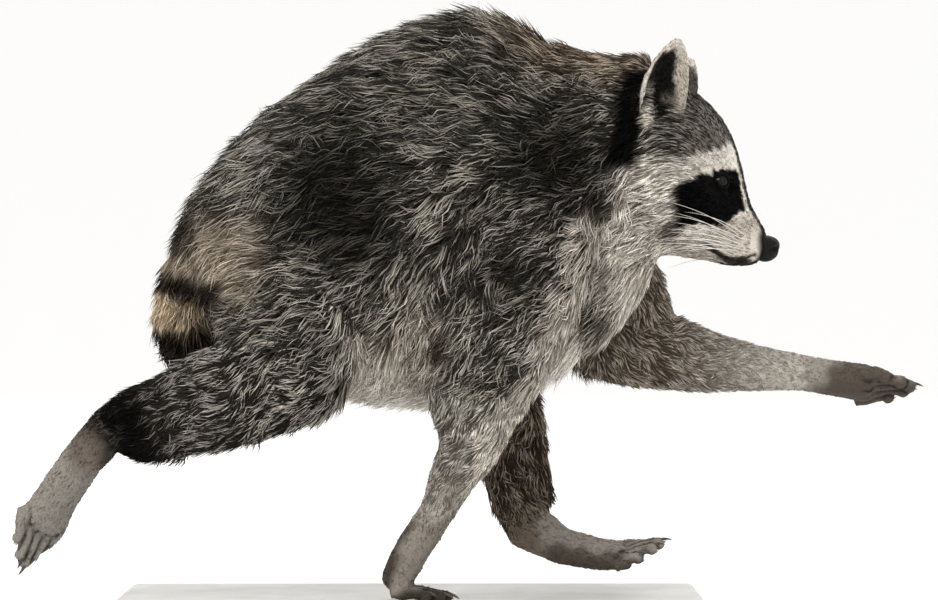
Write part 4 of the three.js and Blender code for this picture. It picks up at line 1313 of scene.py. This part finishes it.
def hair_colours(roots, own, s, long, line):
    """A colour at each place along each tuft: wool at the root, darkened there as painted shade deep in the
    coat, then the hair's own colour and its tip.
    """
    rng, n = roots.rng, roots.n
    middle = (line[:, 1] + line[:, -2]) / 2
    m = markings(middle, roots.parts)
    shared = 0.45 - 0.3 * roots.head
    luck = rng.random(n) * (1 - shared) + rng.random(n)[own] * shared
    luck = np.argsort(np.argsort(luck)) / max(n, 1)
    is_light = (luck < m.share)[:, None]
    # The tail's rings and the marks of the head and the neck show along each hair.
    at_head = (middle[:, 0] > 105 * MM) & (middle[:, 2] > 235 * MM)
    marked = np.flatnonzero((middle[:, 0] < -95 * MM) | at_head)
    calm = 1 - 0.6 * np.maximum(roots.paw, ramp(roots.keep, 0.9, 0.5))[:, None]
    tone = np.exp((rng.normal(0, 0.16, (n, 1)) + rng.normal(0, 0.14, n)[own][:, None]) * calm)
    own_colour = np.where(is_light, m.light, m.dark) * tone
    # On the hands and feet the short hairs are nearly as one in colour.
    mean = m.wool * (1 - m.share)[:, None] + m.light * m.share[:, None]
    own_colour += (mean - own_colour) * (0.65 * roots.paw)[:, None]
    ringed = [markings(line[marked, i], roots.parts[marked]) for i in range(len(s))]
    wool = m.wool * np.exp(rng.normal(0, 0.1, (n, 1)))
    out = np.empty((n, len(s), 3))
    for i, t in enumerate(s):
        own_colour[marked] = np.where(is_light[marked], ringed[i].light, ringed[i].dark) * tone[marked]
        wool[marked] = ringed[i].wool
        # The roots take the wool's colour darkened, to 0.55 of it on long tufts and 0.8 on short ones off
        # the paws: painted shade deep in the coat.
        if long:
            mix = float(ramp(np.array(t), 0.1, 0.55))
            colour = wool * 0.55 * (1 - mix) + own_colour * mix
            if t > 0.9:
                colour = np.where(is_light & (rng.random((n, 1)) < 0.35), colour * 0.45, colour)
        else:
            mix = float(ramp(np.array(t), -0.3, 0.6))
            colour = wool * (0.8 + 0.2 * roots.paw[:, None]) * (1 - mix) + own_colour * mix
        out[:, i] = colour
    return np.clip(out, 0, 1)


def long_tufts(roots):
    """Guard hairs gathered in locks: their shapes, their widths and how one of them tapers."""
    rng, n = roots.rng, roots.n
    length = hair_by(roots.parts, LONG) * roots.keep * MM * rng.uniform(0.75, 1.2, n)
    width = hair_by(roots.parts, WIDE) * MM * rng.uniform(0.6, 1.3, n)
    shapes = tuft_shapes(roots, length, rings=3, clump_every=11, pull=0.45, wave=2.3 * MM)
    return shapes, width, np.array([0.65, 1.0, 0.72])


def short_tufts(roots):
    """Wool on the body, and flat hair on the head, hands and feet."""
    rng, n = roots.rng, roots.n
    length = hair_by(roots.parts, SHORT) * (1 - roots.head) + roots.face_length * roots.head
    length = length * roots.keep * MM * rng.uniform(0.75, 1.25, n)
    width = hair_by(roots.parts, SHORT_WIDE) * (1 - roots.head) + roots.face_wide * roots.head
    width = width * (0.4 + 0.6 * roots.keep) * MM * rng.uniform(0.7, 1.3, n)
    shapes = tuft_shapes(roots, length, rings=2, clump_every=10, pull=0.3, wave=0.3 * MM)
    return shapes, width, np.array([0.75, 1.0])


def make_coat(label, roots, tufts, material):
    """The tufts of one kind as pieces, each of one region of the body. Gives the number of triangles."""
    (line, up, own, s), width, profile = tufts(roots)
    colours = hair_colours(roots, own, s, label == "long", line)
    each = 6 * len(profile) - 2  # triangles in a tuft
    regions = {
        "head": roots.head + is_kind(roots.parts, "neck") * 0.5,
        "trunk": is_kind(roots.parts, "trunk"),
        "tail": is_kind(roots.parts, "tail"),
        "legs": is_kind(roots.parts, "upper_arm", "forearm", "hand", "thigh", "shank", "foot"),
    }
    where = np.argmax(np.stack(list(regions.values()), 1), axis=1)
    for i, region in enumerate(regions):
        mine = np.flatnonzero(where == i)
        pieces = math.ceil(len(mine) * each / MOST_TRIANGLES)
        for j, part in enumerate(np.array_split(mine, pieces)):
            name = f"coat_{region}_{label}" + (f"_{j + 1}" if pieces > 1 else "")
            mesh = tuft_mesh(name, line[part], up[part], width[part], width[part] * 0.6, colours[part],
                             roots.uv[part], profile)
            mesh.materials.append(material)
            piece = new_piece(name, mesh)
    said(f"{label}: {roots.n} tufts")
    return roots.n * each


def unwrap(piece):
    """One UV map over the whole piece, named OFBake."""
    bpy.ops.object.select_all(action="DESELECT")
    bpy.context.view_layer.objects.active = piece
    piece.select_set(True)
    bpy.ops.object.mode_set(mode="EDIT")
    bpy.ops.mesh.select_all(action="SELECT")
    bpy.ops.uv.smart_project(angle_limit=math.radians(60), island_margin=0.001)
    bpy.ops.object.mode_set(mode="OBJECT")
    piece.data.uv_layers.active.name = "OFBake"
    said("unwrapped")


# ---------------------------------------------------------------- materials
def hair_material(name):
    """The colours that the tufts and the skin carry, a little uneven."""
    material, tree, shader = new_material(name, None, 0.62, 0.06)
    noise = node(tree, "TexNoise", Scale=900, Detail=2)
    shade = node(tree, "MapRange", From_Min=0.3, From_Max=0.7, To_Min=0.8, To_Max=1.2)
    mix = node(tree, "VectorMath")
    mix.operation = "SCALE"
    linked(tree, (node(tree, "NewGeometry"), "Position", noise, "Vector"), (noise, "Fac", shade, "Value"),
           (hair_attribute(tree), "Color", mix, 0), (shade, "Result", mix, "Scale"),
           (mix, "Vector", shader, "Base Color"))
    return material, tree, shader


def skin_material():
    """The coat's colours, with the nap of short flat hair over them."""
    material, tree, shader = hair_material("skin")
    nap = node(tree, "TexNoise", Scale=650, Detail=4)
    bump = node(tree, "Bump", Strength=0.5, Distance=0.0005)
    linked(tree, (node(tree, "NewGeometry"), "Position", nap, "Vector"), (nap, "Fac", bump, "Height"),
           (bump, "Normal", shader, "Normal"))
    return material


# ---------------------------------------------------------------- the scene
camera_and_light()
floor()
skin_mesh = make_skin()
sculpted(skin_mesh)
smooth_faces(skin_mesh)
skin = new_piece("skin", skin_mesh)
unwrap(skin)

form = Form(skin_mesh)
form.uv = read(skin_mesh.uv_layers["OFBake"].data, "uv", 2, np.float32).astype(float)
parts = form.smooth(parts_of(form.points), 8)
ear, head, paw = is_kind(parts, "ear"), is_kind(parts, "head", "jaw", "ear"), is_kind(parts, "hand", "foot")
normal = form.smooth(form.normals(), 2)
flow = lie_of(form, unit(normal), ear)
said("lie of the coat known")

marks = markings(form.points, parts)
tint = marks.wool * (1 - marks.share)[:, None] + marks.light * marks.share[:, None]
# Where the coat is deep, the skin takes the wool's colour darkened to 0.6 of it: painted shade under the
# coat. On the head, the paws and under thin coat it shows the coat's own mean colour.
shown = np.clip(ramp(head + paw, 0.3, 0.7) + ramp(taper(form.points, parts), 0.85, 0.5), 0, 1)[:, None]
tint = tint * shown + marks.wool * 0.6 * (1 - shown)
coloured(skin_mesh, tint)
coat = hair_material("coat")[0]
skin_mesh.materials.append(skin_material())
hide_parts(*FLESH)

# Where the hair is short or missing, and the rest that its roots take from the skin.
hm = of_head(form.points) / MM
face_length = 3.0 + 9 * ramp(hm[:, 0], 205, 172) * ramp(np.abs(hm[:, 1]), 22, 42) \
    + 4 * ramp(hm[:, 0], 222, 190)
face_length += 8 * ramp(hm[:, 0], 172, 150)
face_length = face_length * (1 - ear) + 2.8 * ear
face_wide = 0.55 + 0.35 * ramp(face_length, 4, 12)
bare = np.zeros(len(form.points))
for side in (-1, 1):
    e = opening(form.points, side)
    close = np.linalg.norm(form.points - from_head(EYE_AT * [1, side, 1]), axis=1) < 12 * MM
    bare = np.maximum(bare, close * ramp(e, 1.42, 1.22))
    face_length = np.where(close, np.minimum(face_length, 1.2 + 3 * ramp(e, 1.4, 3.0)), face_length)
nose_back = ramp(hm[:, 0], 233, 235) * (np.abs(hm[:, 2] - 254) < 9.5)
bare = np.maximum(np.maximum(bare, nose_back), bare_sole(form.points))
fields = {"normal": unit(normal), "flow": flow, "parts": parts, "head": head, "paw": paw,
          "face_length": face_length, "face_wide": face_wide,
          "wild": 1 - 0.85 * np.clip(head + paw, 0, 1), "keep": taper(form.points, parts),
          "sag": 0.15 * ramp(-normal[:, 2], 0.15, 0.8) * is_kind(parts, "trunk")}
long_roots = Roots(form, fields, hair_by(parts, LONG_PER), 1)
short_roots = Roots(form, fields, hair_by(parts, SHORT_PER) * (1 - bare), 2)
make_eyes()
make_nose()
make_claws()
make_whiskers()
finish_base()
triangles = make_coat("long", long_roots, long_tufts, coat)
triangles += make_coat("short", short_roots, short_tufts, coat)
said(f"coat: {triangles} triangles")
